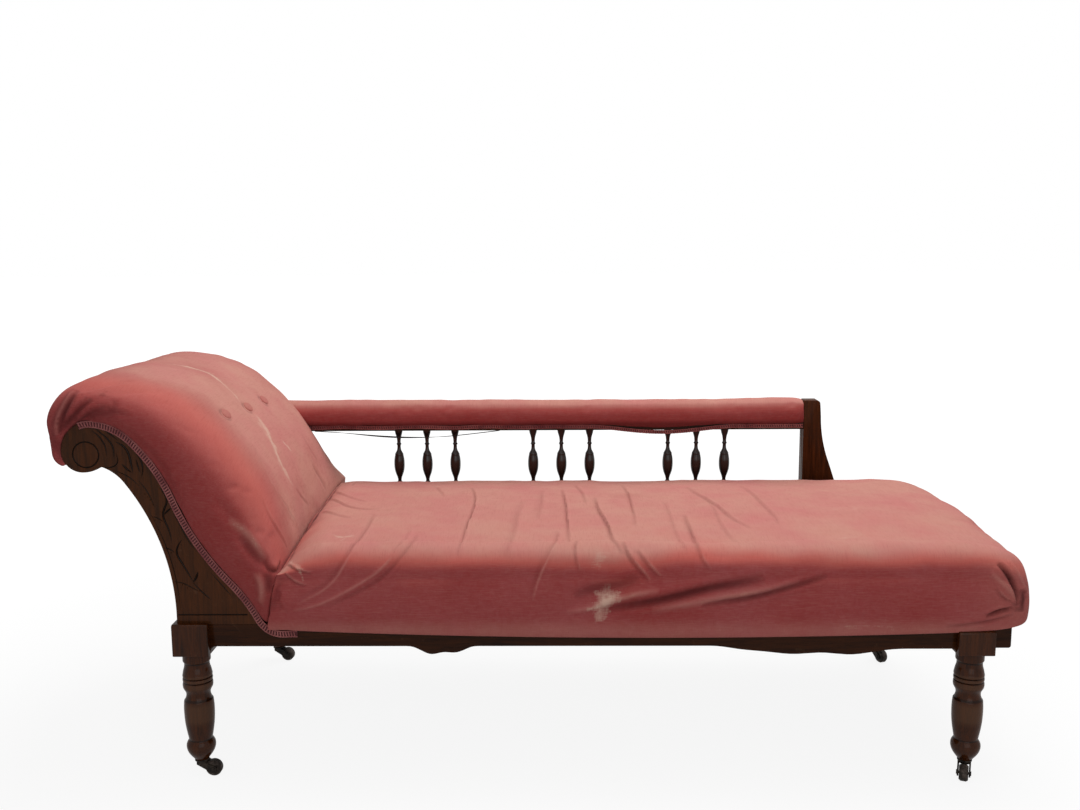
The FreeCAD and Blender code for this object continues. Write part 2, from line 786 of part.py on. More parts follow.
def arm_gimp_front():
    """Braid along the front of the arm, hanging slack below the padding in one stretch."""
    top = arm_base_height + arm_rail_height - arm_pad_lap - 0.6
    x0 = panel_mortise_x(arm_top_height) + 70.0
    x5 = post_head_edge - 2.0
    slack_start = x5 - 0.39 * (x5 - x0)
    slack_end = x5 - 0.13 * (x5 - x0)
    slack_low = (slack_start + slack_end) / 2

    def edge(height):
        a = Vec(x0, 0, height)
        b = Vec(slack_start, 0, height)
        c = Vec(slack_low, 0, height - gimp_sag)
        d = Vec(slack_end, 0, height)
        e = Vec(x5, 0, height)
        return [line(a, b), Part.Arc(b, c, d).toShape(), line(d, e)], a, e

    upper, a, e = edge(top)
    lower, f, g = edge(top - gimp_width + 1)
    y = arm_y - arm_rail_width / 2 - gimp_thickness - 0.1
    return slab(upper + lower + [line(a, f), line(e, g)], y, y + gimp_thickness)


def arm_gimp_back():
    top = arm_base_height + arm_rail_height - arm_pad_lap - 0.6
    x0 = panel_mortise_x(arm_top_height) + 70.0
    y = arm_y + arm_rail_width / 2 + 0.1
    return box(x0, post_head_edge - 2.0, y, y + gimp_thickness, top - gimp_width + 1, top)


def arm_lining_strip():
    """A loosened strip of lining cloth that hangs in a shallow bow under the arm rail."""
    sag = 17.0
    span = 420.0
    width = 11.0
    thick = 1.2
    first_spindle = spindle_places()[0]
    x0 = first_spindle - 188.0
    y = arm_y - arm_rail_width / 2

    def bow(z):
        a = Vec(x0, 0, z)
        b = Vec(x0 + span / 2, 0, z - sag)
        c = Vec(x0 + span, 0, z)
        return Part.Arc(a, b, c).toShape(), a, c

    upper, a, c = bow(arm_base_height - face_gap)
    lower, f, g = bow(arm_base_height - face_gap - thick)
    return slab([upper, lower, line(a, f), line(c, g)], y - 0.6, y - 0.6 + width)


def head_buttons():
    """Three covered buttons in a row across the scroll's padding, each sunk in its tuft."""
    buttons = []
    for seat, out in button_seats():
        foot = seat - out * (button_sink - rest_gap)
        disc = Part.makeCylinder(button_radius, button_height / 2, foot, out)
        cap = Part.makeCone(button_radius, button_radius * 0.55, button_height / 2,
                            foot + out * (button_height / 2), out)
        buttons.append(disc.fuse(cap))
    return Part.makeCompound(buttons)


# Castors

def castor_levels():
    plate_base = leg_base_height - castor_plate_thickness
    hub_top = plate_base - face_gap
    hub_base = hub_top - hub_height
    return plate_base, hub_top, hub_base


def castor_plate(x, y):
    """The fixed plate with its stem up into the leg and its riveted pintle down through the hub."""
    plate_base, hub_top, hub_base = castor_levels()
    plate = Part.makeCylinder(castor_plate_radius, castor_plate_thickness, Vec(0, 0, plate_base))
    rivet_top = hub_base - face_gap
    pin = Part.makeCylinder(pintle_radius, leg_base_height + stem_length - rivet_top + rivet_height,
                            Vec(0, 0, rivet_top - rivet_height))
    rivet = Part.makeCylinder(rivet_radius, rivet_height, Vec(0, 0, rivet_top - rivet_height))
    whole = plate.fuse(pin).fuse(rivet).removeSplitter()
    whole.translate(Vec(x, y, 0))
    return whole


def castor_horn():
    """The swivelling horn: a bored hub and two curved cheeks that carry the axle."""
    plate_base, hub_top, hub_base = castor_levels()
    hub = Part.makeCylinder(hub_radius, hub_height, Vec(0, 0, hub_base))
    inside = wheel_width / 2 + cheek_clearance
    outside = inside + cheek_thickness
    bridge = box(-hub_radius * 0.7, hub_radius * 0.6, -outside, outside, hub_base, hub_top)
    eye = wheel_radius
    reach = castor_trail + 6.5
    side = [(-hub_radius * 0.7, hub_top), (-hub_radius * 0.7, hub_base), (castor_trail - 14, eye + 1),
            (castor_trail - 3, eye - 6.5), (castor_trail + 3, eye - 6.5), (reach, eye - 3), (reach, eye + 3),
            (castor_trail + 2, eye + 6.5), (castor_trail - 8, eye + 10), (hub_radius * 0.6, hub_top)]
    points = [Vec(x, 0, z) for x, z in side]
    cheek = Part.Face(Part.makePolygon(points + points[:1]))
    cheeks = [cheek.translated(Vec(0, y, 0)).extrude(Vec(0, cheek_thickness, 0)) for y in (-outside, inside)]
    horn = hub.fuse(bridge).fuse(cheeks[0]).fuse(cheeks[1]).removeSplitter()
    bore = Part.makeCylinder(pintle_radius + running_gap, 3 * hub_height, Vec(0, 0, hub_base - hub_height))
    axle_bore = Part.makeCylinder(wheel_bore_radius - running_gap + joint_gap, 4 * outside,
                                  Vec(castor_trail, -2 * outside, wheel_radius), Vec(0, 1, 0))
    return horn.cut(bore).cut(axle_bore)


def castor_axle():
    outside = wheel_width / 2 + cheek_clearance + cheek_thickness
    head = 1.4
    length = 2 * (outside + head)
    pin = Part.makeCylinder(wheel_bore_radius - running_gap, length,
                            Vec(castor_trail, -length / 2, wheel_radius), Vec(0, 1, 0))
    ends = [Part.makeCylinder(4.0, head, Vec(castor_trail, y, wheel_radius), Vec(0, 1, 0))
            for y in (-length / 2, length / 2 - head)]
    return pin.fuse(ends[0]).fuse(ends[1]).removeSplitter()


def castor_wheel():
    """A barrel wheel: flat in the middle of its tread, sloped to both faces, bored for the axle."""
    half = wheel_width / 2
    flat = 4.5
    rim = wheel_radius - 2.4
    points = [Vec(r, 0, z) for r, z in ((wheel_bore_radius, -half), (rim, -half), (wheel_radius, -flat))]
    points += [Vec(p.x, 0, -p.z) for p in reversed(points)]
    profile = Part.Face(Part.makePolygon(points + points[:1]))
    wheel = profile.revolve(Vec(0, 0, 0), Vec(0, 0, 1), 360)
    wheel.rotate(Vec(0, 0, 0), Vec(1, 0, 0), 90)
    wheel.translate(Vec(castor_trail, 0, wheel_radius))
    return wheel


castor_headings = {"front_left": 0.0, "front_right": -112.0, "back_left": -8.0, "back_right": -70.0}


def stand(piece, corner):
    """A castor piece, made trailing along +X, turned to its heading and set under its leg."""
    x, y = corners[corner]
    piece = piece.copy()
    piece.rotate(Vec(0, 0, 0), Vec(0, 0, 1), castor_headings[corner])
    piece.translate(Vec(x, y, 0))
    return piece


corners = {
    "front_left": (head_leg_x, -leg_y),
    "front_right": (foot_leg_x, -leg_y),
    "back_left": (head_leg_x, leg_y),
    "back_right": (foot_leg_x, leg_y),
}


def build():
    parts = {
        "front_seat_rail": front_seat_rail(),
        "back_seat_rail": back_seat_rail(),
        "head_end_rail": head_end_rail(),
        "foot_end_rail": foot_end_rail(),
        "head_roll_rail": head_roll_rail(),
        "head_lumbar_rail": head_lumbar_rail(),
        "head_hessian": head_hessian(),
        "head_outside_back": head_outside_back(),
        "head_pad": head_pad(),
        "seat_pad": seat_pad(),
        "seat_springs": seat_springs(),
        "seat_webbing": seat_webbing(),
        "spring_hessian": spring_hessian(),
        "bottom_lining": bottom_lining(),
        "arm_rail": arm_rail(),
        "gallery_lower_rail": gallery_lower_rail(),
        "arm_pad": arm_pad(),
        "arm_gimp_front": arm_gimp_front(),
        "arm_gimp_back": arm_gimp_back(),
        "arm_lining_strip": arm_lining_strip(),
        "head_gimp": head_gimp(),
        "head_buttons": head_buttons(),
    }
    panel = head_panel()
    parts["head_panel_front"] = panel
    back_panel = mirrored_back(panel)
    parts["head_panel_back"] = back_panel.cut(parts["arm_rail"]).cut(parts["gallery_lower_rail"])
    post = arm_end_post()
    parts["arm_end_post"] = post.cut(parts["arm_rail"]).cut(parts["gallery_lower_rail"])
    for i, x in enumerate(spindle_places(), start=1):
        parts["spindle_%d" % i] = spindle(x)
    rails = [parts[n] for n in ("front_seat_rail", "back_seat_rail", "head_end_rail", "foot_end_rail")]
    horn = castor_horn()
    axle = castor_axle()
    wheel = castor_wheel()
    for corner, (x, y) in corners.items():
        top = head_block_top if corner.endswith("left") else foot_block_top
        parts["leg_" + corner] = saddled(leg(x, y, top), rails)
        parts["castor_plate_" + corner] = castor_plate(x, y)
        parts["castor_horn_" + corner] = stand(horn, corner)
        parts["castor_axle_" + corner] = stand(axle, corner)
        parts["castor_wheel_" + corner] = stand(wheel, corner)
    return parts


def main():
    os.makedirs("parts", exist_ok=True)
    for name, shape in build().items():
        for solid in shape.Solids:
            if not solid.isValid() or solid.Volume <= 0:
                print("check", name, solid.isValid(), solid.Volume)
        shape.exportStep("parts/%s.step" % name)
        box_now = shape.BoundBox
        print("%-26s %2d solids  x %7.1f %7.1f  y %7.1f %7.1f  z %6.1f %6.1f" % (
            name, len(shape.Solids), box_now.XMin, box_now.XMax, box_now.YMin, box_now.YMax,
            box_now.ZMin, box_now.ZMax))


main()
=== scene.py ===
"""The looks of a scroll-ended couch: velvet pads, carved and turned mahogany, braid and linings.

The file is laid out as an add-on.  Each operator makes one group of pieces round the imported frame.
Lengths are metres, and places are in the frame's own coordinates.
"""

import math
from contextlib import contextmanager

import bmesh
import bpy
import numpy as np
from bpy.props import FloatProperty, FloatVectorProperty, IntProperty, PointerProperty
from mathutils import Matrix, Vector, noise
from mathutils.bvhtree import BVHTree


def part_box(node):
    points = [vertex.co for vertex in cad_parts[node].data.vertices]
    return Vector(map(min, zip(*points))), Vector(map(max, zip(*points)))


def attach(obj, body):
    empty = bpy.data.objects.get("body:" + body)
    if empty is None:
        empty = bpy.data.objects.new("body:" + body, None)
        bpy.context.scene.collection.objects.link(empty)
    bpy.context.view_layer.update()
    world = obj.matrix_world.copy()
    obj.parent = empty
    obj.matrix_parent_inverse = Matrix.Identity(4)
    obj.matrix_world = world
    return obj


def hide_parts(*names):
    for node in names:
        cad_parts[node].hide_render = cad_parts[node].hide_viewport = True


bl_info = {
    "name": "Scroll-Ended Couch",
    "version": (1, 0, 0),
    "blender": (4, 5, 0),
    "location": "3D View > Sidebar > Couch",
    "description": "Velvet pads, carved and turned mahogany, braid and linings round a couch frame",
    "category": "Add Mesh",
}

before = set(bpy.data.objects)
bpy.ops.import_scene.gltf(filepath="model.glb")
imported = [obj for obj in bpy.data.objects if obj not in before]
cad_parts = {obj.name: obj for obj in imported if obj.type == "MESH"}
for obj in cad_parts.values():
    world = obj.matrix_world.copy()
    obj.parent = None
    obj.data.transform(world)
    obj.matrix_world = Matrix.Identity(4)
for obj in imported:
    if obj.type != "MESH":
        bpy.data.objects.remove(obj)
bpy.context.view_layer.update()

MM = 0.001
rail_low, rail_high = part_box("front_seat_rail")
frame_head = rail_low.x
rail_top = rail_high.z
frame_face = -rail_low.y
frame_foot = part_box("foot_end_rail")[1].x
panel_inside = frame_face - 30 * MM
arm_low, arm_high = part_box("arm_rail")
arm_base, arm_rail_top = arm_low.z, arm_high.z
arm_y = (arm_low.y + arm_high.y) / 2
rest_gap = 0.4 * MM

same_point = 2e-6  # points this near are one
flat_angle = math.radians(0.6)  # edges flatter than this are no edges
wood_edge, cloth_edge = 32, 60  # degrees from which wood and velvet show an edge
corners = ("front_left", "front_right", "back_left", "back_right")


def middle_of(node):
    """The middle of a node's box."""
    low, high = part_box(node)
    return (low + high) / 2


# Camera, and places on a surface by what the camera sees there

eye = np.array([0.0332, -2.1731, 0.973])
yaw, pitch, roll = 0.0164, 0.1487, -0.0071  # radians
focal_pixels = 1091.2
image_width, image_height = 1080, 810


def camera_axes():
    """The camera's right, up and forward directions."""
    forward = np.array([-math.sin(yaw) * math.cos(pitch), math.cos(yaw) * math.cos(pitch),
                        -math.sin(pitch)])
    level = np.array([math.cos(yaw), math.sin(yaw), 0.0])
    upright = np.cross(level, forward)
    right = math.cos(roll) * level + math.sin(roll) * upright
    up = -math.sin(roll) * level + math.cos(roll) * upright
    return right, up, forward


def sight(px, py):
    """The direction from the eye through a point of the image."""
    right, up, forward = camera_axes()
    across = (px - image_width / 2) / focal_pixels
    down = (py - image_height / 2) / focal_pixels
    return Vector(forward + right * across - up * down).normalized()


def seen_on(tree, px, py):
    """Where the surface in this tree is seen at a point of the image, or None."""
    hit = tree.ray_cast(Vector(eye), sight(px, py))
    return hit[0]


def seen_on_plane(px, py, y):
    """The (x, z) of a point of the image on the upright plane at this y."""
    ray = sight(px, py)
    reach = (y - eye[1]) / ray.y
    return eye[0] + ray.x * reach, eye[2] + ray.z * reach


# Plain geometry

def place(x, z):
    """A point of the side view, in millimetres from the head end of the frame at the top of the rails."""
    return np.array([frame_head + x * MM, rail_top + z * MM])


def heading(angle):
    """The unit vector at this angle, in degrees."""
    return np.array([math.cos(math.radians(angle)), math.sin(math.radians(angle))])


def arc_points(start, angle, end, count):
    """Points on the arc that leaves start at this angle and reaches end, and the arc's last angle."""
    start, end = np.array(start, float), np.array(end, float)
    chord = end - start
    turn = 2 * (math.degrees(math.atan2(chord[1], chord[0])) - angle)
    turn = (turn + 180) % 360 - 180
    share = np.linspace(0, 1, count + 1)[:, None]
    if abs(turn) < 0.1:
        return start + chord * share, angle
    radius = np.linalg.norm(chord) / (2 * math.sin(math.radians(turn / 2)))
    centre = start + heading(angle + 90) * radius
    sweep = np.radians(angle + 90 + turn * share)
    return centre - radius * np.hstack([np.cos(sweep), np.sin(sweep)]), angle + turn


def chain(points, angle, counts):
    """Points on tangent arcs, each of which goes on where the last one ended."""
    found = [np.array([points[0]], float)]
    for start, end, count in zip(points, points[1:], counts):
        arc, angle = arc_points(start, angle, end, count)
        found.append(arc[1:])
    return np.vstack(found)


def arc_through(a, b, c, count):
    """Points on the arc from a through b to c, without a itself."""
    a, b, c = (np.array(p, float) for p in (a, b, c))
    ab, ac = b - a, c - a
    cross = 2 * (ab[0] * ac[1] - ab[1] * ac[0])
    centre = a + np.array([ac[1] * (ab @ ab) - ab[1] * (ac @ ac),
                           ab[0] * (ac @ ac) - ac[0] * (ab @ ab)]) / cross
    first, middle, last = (math.atan2(*(p - centre)[::-1]) for p in (a, b, c))
    whole = (last - first) % (2 * math.pi)
    if (middle - first) % (2 * math.pi) > whole:
        whole -= 2 * math.pi
    angles = first + whole * np.linspace(0, 1, count + 1)[1:]
    radius = np.linalg.norm(a - centre)
    return centre + radius * np.stack([np.cos(angles), np.sin(angles)], axis=1)


def straight(a, b, count):
    """Points from a to b, without a itself."""
    share = np.linspace(0, 1, count + 1)[1:, None]
    return np.array(a) + (np.array(b) - np.array(a)) * share


def smooth_line(points, count):
    """count points, evenly spaced, on a smooth line through the given ones."""
    points = np.array(points, float)
    gaps = np.maximum(np.linalg.norm(np.diff(points, axis=0), axis=1), 1e-9)
    at = np.concatenate([[0], np.cumsum(gaps)])
    n = len(points)
    if n < 3:
        return taken_at(np.linspace(0, at[-1], count), at, points)
    system = np.zeros((n, n))
    right_side = np.zeros((n, points.shape[1]))
    system[0, 0] = system[-1, -1] = 1
    for i in range(1, n - 1):
        system[i, i - 1:i + 2] = gaps[i - 1], 2 * (gaps[i - 1] + gaps[i]), gaps[i]
        right_side[i] = 6 * ((points[i + 1] - points[i]) / gaps[i]
                             - (points[i] - points[i - 1]) / gaps[i - 1])
    bend = np.linalg.solve(system, right_side)
    fine = np.linspace(0, at[-1], max(8 * n, 4 * count))
    i = np.clip(np.searchsorted(at, fine, side="right") - 1, 0, n - 2)
    h, s = gaps[i][:, None], (fine - at[i])[:, None]
    slope = (points[i + 1] - points[i]) / h - h * (2 * bend[i] + bend[i + 1]) / 6
    line = points[i] + slope * s + bend[i] * s ** 2 / 2 + (bend[i + 1] - bend[i]) / (6 * h) * s ** 3
    along = lengths(line)
    return taken_at(np.linspace(0, along[-1], count), along, line)


def at_depth(line, y):
    """The points of a side-view line of (x, z), at this y."""
    return np.stack([line[:, 0], np.broadcast_to(y, len(line)), line[:, 1]], axis=1)


def directions(line):
    """The unit direction of a line at each of its points."""
    way = np.gradient(line, axis=0)
    return way / np.linalg.norm(way, axis=1)[:, None]


def moved_aside(line, distance):
    """A flat line moved to its right by a distance."""
    way = directions(line)
    return line + np.stack([way[:, 1], -way[:, 0]], axis=1) * distance


def lengths(line):
    """The length of a line up to each of its points."""
    return np.concatenate([[0], np.cumsum(np.linalg.norm(np.diff(line, axis=0), axis=1))])


def taken_at(at, along, line):
    """The rows of a line where its lengths reach these values."""
    return np.stack([np.interp(at, along, line[:, k]) for k in range(line.shape[1])], axis=-1)


def soft_step(low, high, value):
    """From 0 at low to 1 at high, level at both ends."""
    t = np.clip((value - low) / (high - low), 0, 1)
    return t * t * (3 - 2 * t)


# Objects

def select_only(*objs):
    """Selects these objects alone and makes the first one active."""
    if bpy.context.object and bpy.context.object.mode != "OBJECT":
        bpy.ops.object.mode_set(mode="OBJECT")
    bpy.ops.object.select_all(action="DESELECT")
    for obj in objs:
        obj.select_set(True)
    bpy.context.view_layer.objects.active = objs[0]


def linked(name, data):
    """A new object in the scene with this data."""
    obj = bpy.data.objects.new(name, data)
    bpy.context.scene.collection.objects.link(obj)
    return obj


def new_object(name, verts, faces, edges=()):
    """A new mesh object from its points, faces and loose edges."""
    mesh = bpy.data.meshes.new(name)
    mesh.from_pydata([tuple(map(float, v)) for v in verts], list(edges),
                     [tuple(map(int, f)) for f in faces])
    mesh.update()
    return linked(name, mesh)


@contextmanager
def reworked(mesh):
    """A bmesh of the mesh, which is written back when the work on it is done."""
    work = bmesh.new()
    work.from_mesh(mesh)
    yield work
    work.to_mesh(mesh)
    work.free()


def tree_of(mesh):
    """A tree of the mesh's faces, for rays and nearest points."""
    work = bmesh.new()
    work.from_mesh(mesh)
    tree = BVHTree.FromBMesh(work)
    work.free()
    return tree


def add_modifier(obj, kind, **settings):
    """Adds a modifier, sets it and applies it."""
    modifier = obj.modifiers.new(kind.title(), kind)
    for name, value in settings.items():
        setattr(modifier, name, value)
    select_only(obj)
    bpy.ops.object.modifier_apply(modifier=modifier.name)
    return obj


def in_edit_mode(obj, *steps):
    """Runs edit-mode steps on the whole mesh."""
    select_only(obj)
    bpy.ops.object.mode_set(mode="EDIT")
    bpy.ops.mesh.select_all(action="SELECT")
    for step in steps:
        step()
    bpy.ops.object.mode_set(mode="OBJECT")


def smooth_by_angle(obj, degrees):
    """Smooth shading, with edges where faces meet at more than this angle."""
    select_only(obj)
    bpy.ops.object.shade_smooth_by_angle(angle=math.radians(degrees))


def of_vertices(mesh, what="co"):
    """Each vertex's place or normal, as rows of an array."""
    flat = np.zeros(len(mesh.vertices) * 3)
    mesh.vertices.foreach_get(what, flat)
    return flat.reshape(-1, 3)


def set_coords(mesh, points):
    mesh.vertices.foreach_set("co", points.astype(np.float32).ravel())
    mesh.update()


def set_attribute(obj, name, values):
    """Stores one value for each vertex, for the shaders."""
    layer = obj.data.attributes.get(name) or obj.data.attributes.new(name, "FLOAT", "POINT")
    layer.data.foreach_set("value", np.asarray(values, np.float32))


def joined(name, objs):
    """Several objects as one."""
    select_only(*objs)
    if len(objs) > 1:
        bpy.ops.object.join()
    whole = bpy.context.view_layer.objects.active
    whole.name = name
    whole.data.name = name
    return whole


def dress(obj, material, body="couch", replaces=()):
    """Gives a finished piece its material and its body, and hides the nodes that it stands for."""
    obj.data.materials.clear()
    obj.data.materials.append(material)
    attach(obj, body)
    if replaces:
        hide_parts(*replaces)
    return obj


def refinish(node, material):
    """Gives a node that stays as the frame has it its material and slot."""
    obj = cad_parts[node]
    obj.data.materials.clear()
    obj.data.materials.append(material)


def copy_of_node(name, node):
    """A clean, merged copy of a node's mesh, as a new object."""
    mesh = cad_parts[node].data.copy()
    mesh.name = name
    obj = linked(name, mesh)
    mesh.materials.clear()
    with reworked(mesh) as work:
        bmesh.ops.remove_doubles(work, verts=work.verts, dist=same_point)
        bmesh.ops.dissolve_limit(work, angle_limit=flat_angle, verts=work.verts, edges=work.edges)
        for face in work.faces:
            face.smooth = False
    for layer in [a.name for a in mesh.attributes if a.name.startswith("custom_normal")]:
        mesh.attributes.remove(mesh.attributes[layer])
    return obj


def bevelled(obj, width, segments, angle, **settings):
    """The object with its edges that are sharper than the angle rounded."""
    add_modifier(obj, "BEVEL", width=width, segments=segments, limit_method="ANGLE",
                 angle_limit=math.radians(angle), use_clamp_overlap=True, **settings)
    smooth_by_angle(obj, wood_edge)
    return obj


def eased(name, node, width):
    """A node's shape with its sharp edges eased, as worn wood has them."""
    return bevelled(copy_of_node(name, node), width, 2, 40, harden_normals=False)


def turned(name, outline, x, y, steps):
    """A piece turned on the lathe: its outline of (height, radius), spun round its axis."""
    verts = [(x + r, y, z) for z, r in outline]
    edges = [(i, i + 1) for i in range(len(verts) - 1)]
    obj = new_object(name, verts, [], edges)
    in_edit_mode(
        obj,
        lambda: bpy.ops.mesh.spin(steps=steps, angle=2 * math.pi, center=(x, y, 0), axis=(0, 0, 1)),
        lambda: bpy.ops.mesh.select_all(action="SELECT"),
        lambda: bpy.ops.mesh.remove_doubles(threshold=2e-5),
        lambda: bpy.ops.mesh.normals_make_consistent(inside=False),
    )
    smooth_by_angle(obj, 38)
    return obj


def capped_faces(rows, columns):
    """Faces of a sleeve whose vertices run ring by ring, with a face over each end."""
    faces = []
    for i in range(rows - 1):
        here, ahead = i * columns, (i + 1) * columns
        for j in range(columns):
            k = (j + 1) % columns
            faces.append((here + j, here + k, ahead + k, ahead + j))
    faces.append(tuple(range(columns))[::-1])
    faces.append(tuple(range((rows - 1) * columns, rows * columns)))
    return faces


def closed_sleeve(name, rings):
    """A closed form from rings of points, each ring the same number, with a face at each end."""
    obj = new_object(name, np.vstack(rings), capped_faces(len(rings), len(rings[0])))
    with reworked(obj.data) as work:
        bmesh.ops.triangulate(work, faces=[f for f in work.faces if len(f.verts) > 4])
        bmesh.ops.recalc_face_normals(work, faces=work.faces)
        if work.calc_volume(signed=True) < 0:
            bmesh.ops.reverse_faces(work, faces=work.faces)
    return obj


def tube(points, radii, sides):
    """Verts and faces of a closed tube along points."""
    points = np.array(points, float)
    tangents = directions(points)
    reference = np.array([0.0, 1.0, 0.0])
    if abs(tangents[0] @ reference) > 0.9:
        reference = np.array([0.0, 0.0, 1.0])
    verts = []
    for p, t, r in zip(points, tangents, radii):
        side = np.cross(reference, t)
        side /= np.linalg.norm(side)
        up = np.cross(t, side)
        for k in range(sides):
            a = 2 * math.pi * k / sides
            verts.append(p + r * (math.cos(a) * side + math.sin(a) * up))
    return np.array(verts), capped_faces(len(points), sides)


def gathered(parts):
    """Several (verts, faces) as one."""
    verts, faces, base = [], [], 0
    for v, f in parts:
        verts.append(v)
        faces += [tuple(i + base for i in face) for face in f]
        base += len(v)
    return np.vstack(verts), faces


# Shader maths

class Value:
    """A socket whose arithmetic adds Math nodes."""

    def __init__(self, shader, socket):
        self.shader = shader
        self.socket = socket

    def maths(self, operation, first, second):
        return self.shader.add("ShaderNodeMath", {"operation": operation}, {0: first, 1: second})

    def __add__(self, other):
        return self.maths("ADD", self, other)

    __radd__ = __add__

    def __sub__(self, other):
        return self.maths("SUBTRACT", self, other)

    def __rsub__(self, other):
        return self.maths("SUBTRACT", other, self)

    def __mul__(self, other):
        return self.maths("MULTIPLY", self, other)

    __rmul__ = __mul__

    def __truediv__(self, other):
        return self.maths("DIVIDE", self, other)


def fill(tree, socket, value):
    """Links a value to a socket, or sets the socket's own number or colour."""
    if isinstance(value, Value):
        tree.links.new(value.socket, socket)
    elif hasattr(value, "__len__") and socket.type == "RGBA":
        socket.default_value = (*value, 1)
    else:
        socket.default_value = value


class Nodes:
    """A node tree whose nodes are made through one method."""

    def __init__(self, tree):
        self.tree = tree

    def add(self, kind, settings, sockets, output=0):
        """Adds a node: its settings first, then the values or links of its sockets."""
        made = self.tree.nodes.new(kind)
        for name, value in settings.items():
            if name == "stops":
                ramp = made.color_ramp.elements
                while len(ramp) < len(value):
                    ramp.new(1.0)
                for element, (at, tone) in zip(ramp, value):
                    element.position = at
                    element.color = (*tone, 1) if hasattr(tone, "__len__") else (tone, tone, tone, 1)
            else:
                setattr(made, name, value)
        for key, value in sockets.items():
            fill(self.tree, made.inputs[key], value)
        return Value(self, made.outputs[output])


class Shader(Nodes):
    """A material's nodes."""

    def __init__(self, name):
        self.material = bpy.data.materials.new(name)
        self.material.use_nodes = True
        super().__init__(self.material.node_tree)
        self.surface = self.tree.nodes["Principled BSDF"]
        self.place = self.add("ShaderNodeTexCoord", {}, {}, "Object")

    def stretched(self, scale):
        """The place on the piece, scaled along its axes."""
        return self.add("ShaderNodeMapping", {}, {"Vector": self.place, "Scale": scale})

    def cloud(self, where, scale, detail=3.0, rough=0.5, distortion=0.0):
        """A cloudy value, about 0.5 on average."""
        return self.add("ShaderNodeTexNoise", {}, {
            "Vector": where, "Scale": scale, "Detail": detail, "Roughness": rough, "Distortion": distortion})

    def ramp(self, value, *stops):
        """A ramp between tones: numbers or colours at places from 0 to 1."""
        return self.add("ShaderNodeValToRGB", {"stops": stops}, {0: value})

    def tint(self, share, first, second):
        """A colour between two, by a share."""
        return self.add("ShaderNodeMix", {"data_type": "RGBA"}, {0: share, 6: first, 7: second}, 2)

    def painted(self, name):
        """A value stored on the mesh."""
        return self.add("ShaderNodeAttribute", {"attribute_name": name}, {}, "Fac")

    def bump(self, height, strength, distance):
        """The surface's normal, tilted by a height."""
        return self.add("ShaderNodeBump", {}, {"Height": height, "Strength": strength, "Distance": distance})

    def finish(self, **sockets):
        """Sets the surface's own sockets: constants as numbers, what varies as links."""
        for key, value in sockets.items():
            fill(self.tree, self.surface.inputs[key.replace("_", " ")], value)
        return self.material


def look():
    """The scene's colours of the couch."""
    return bpy.context.scene.couch_look


def velvet(name):
    """Old velvet: paler where it faces up, partly sun bleaching and partly painted light; a painted band of
    brighter red light on its rolls; deep rose where it stands; painted shade with some grime in its folds;
    worn to its backing in places.
    """
    s = Shader(name)
    tones = look()
    broad = s.cloud(s.place, 5.0, 4.0, 0.55)
    patchy = s.cloud(s.place, 24.0, 6.0, 0.62, 0.5)
    crushed = s.cloud(s.place, 95.0, 4.0, 0.65, 0.8)
    thread = s.cloud(s.stretched((40.0, 620.0, 620.0)), 1.0, 2.0, 0.6)
    across = s.cloud(s.stretched((620.0, 44.0, 70.0)), 1.0, 2.0, 0.6)
    pile = s.cloud(s.place, 1700.0, 2.0, 0.7)
    mottle = s.ramp(patchy, (0.30, 0.0), (0.72, 1.0))
    # Paler where the cover faces up: partly sun fading, partly painted light, with painted highlights on
    # fold crests.
    faded = s.painted("faded") * (0.80 + 0.20 * mottle + 0.18 * crushed)
    colour = s.tint(s.ramp(broad * 0.6 + crushed * 0.4, (0.35, 0.0), (0.65, 1.0)), tones.velvet_deep,
                    tones.velvet_dusk)
    # A painted band of brighter red light on the rolls, laid by how they face, with some real rubbing.
    colour = s.tint(s.painted("rubbed") * (0.55 + 0.7 * broad), colour, tones.velvet_rubbed_lit)
    bleached_and_lit = s.tint(s.ramp(s.cloud(s.place, 8.0, 4.0, 0.6), (0.40, 0.0), (0.70, 0.7)), tones.velvet_faded_lit,
                      tones.velvet_rosy)
    colour = s.tint(faded, colour, bleached_and_lit)
    colour = s.tint(s.ramp(thread, (0.45, 0.0), (0.78, 0.15)), colour, tones.velvet_faded_lit)
    colour = s.tint(s.ramp(across, (0.50, 0.0), (0.80, 0.22)), colour, tones.velvet_deep)
    threadbare = s.painted("worn") + (patchy - 0.5) * 0.9 + (thread - 0.5) * 0.5 + (across - 0.5) * 0.5
    worn = s.ramp(threadbare, (0.34, 0.0), (1.0, 0.9))
    colour = s.tint(worn, colour, tones.velvet_worn)
    # Painted shade, with some grime, down in folds, gathers, creases and under the pads.
    colour = s.tint(s.painted("grime"), colour, tones.velvet_grime_and_shade)
    height = 0.5 * pile + 0.6 * thread + 0.5 * across + 0.9 * crushed + 0.8 * patchy
    return s.finish(Base_Color=colour, Roughness=0.78 + 0.15 * mottle, Normal=s.bump(height, 0.40, 0.0008),
                    Sheen_Weight=0.10, Sheen_Roughness=0.4, Sheen_Tint=(1.0, 0.62, 0.58),
                    Specular_IOR_Level=0.04)


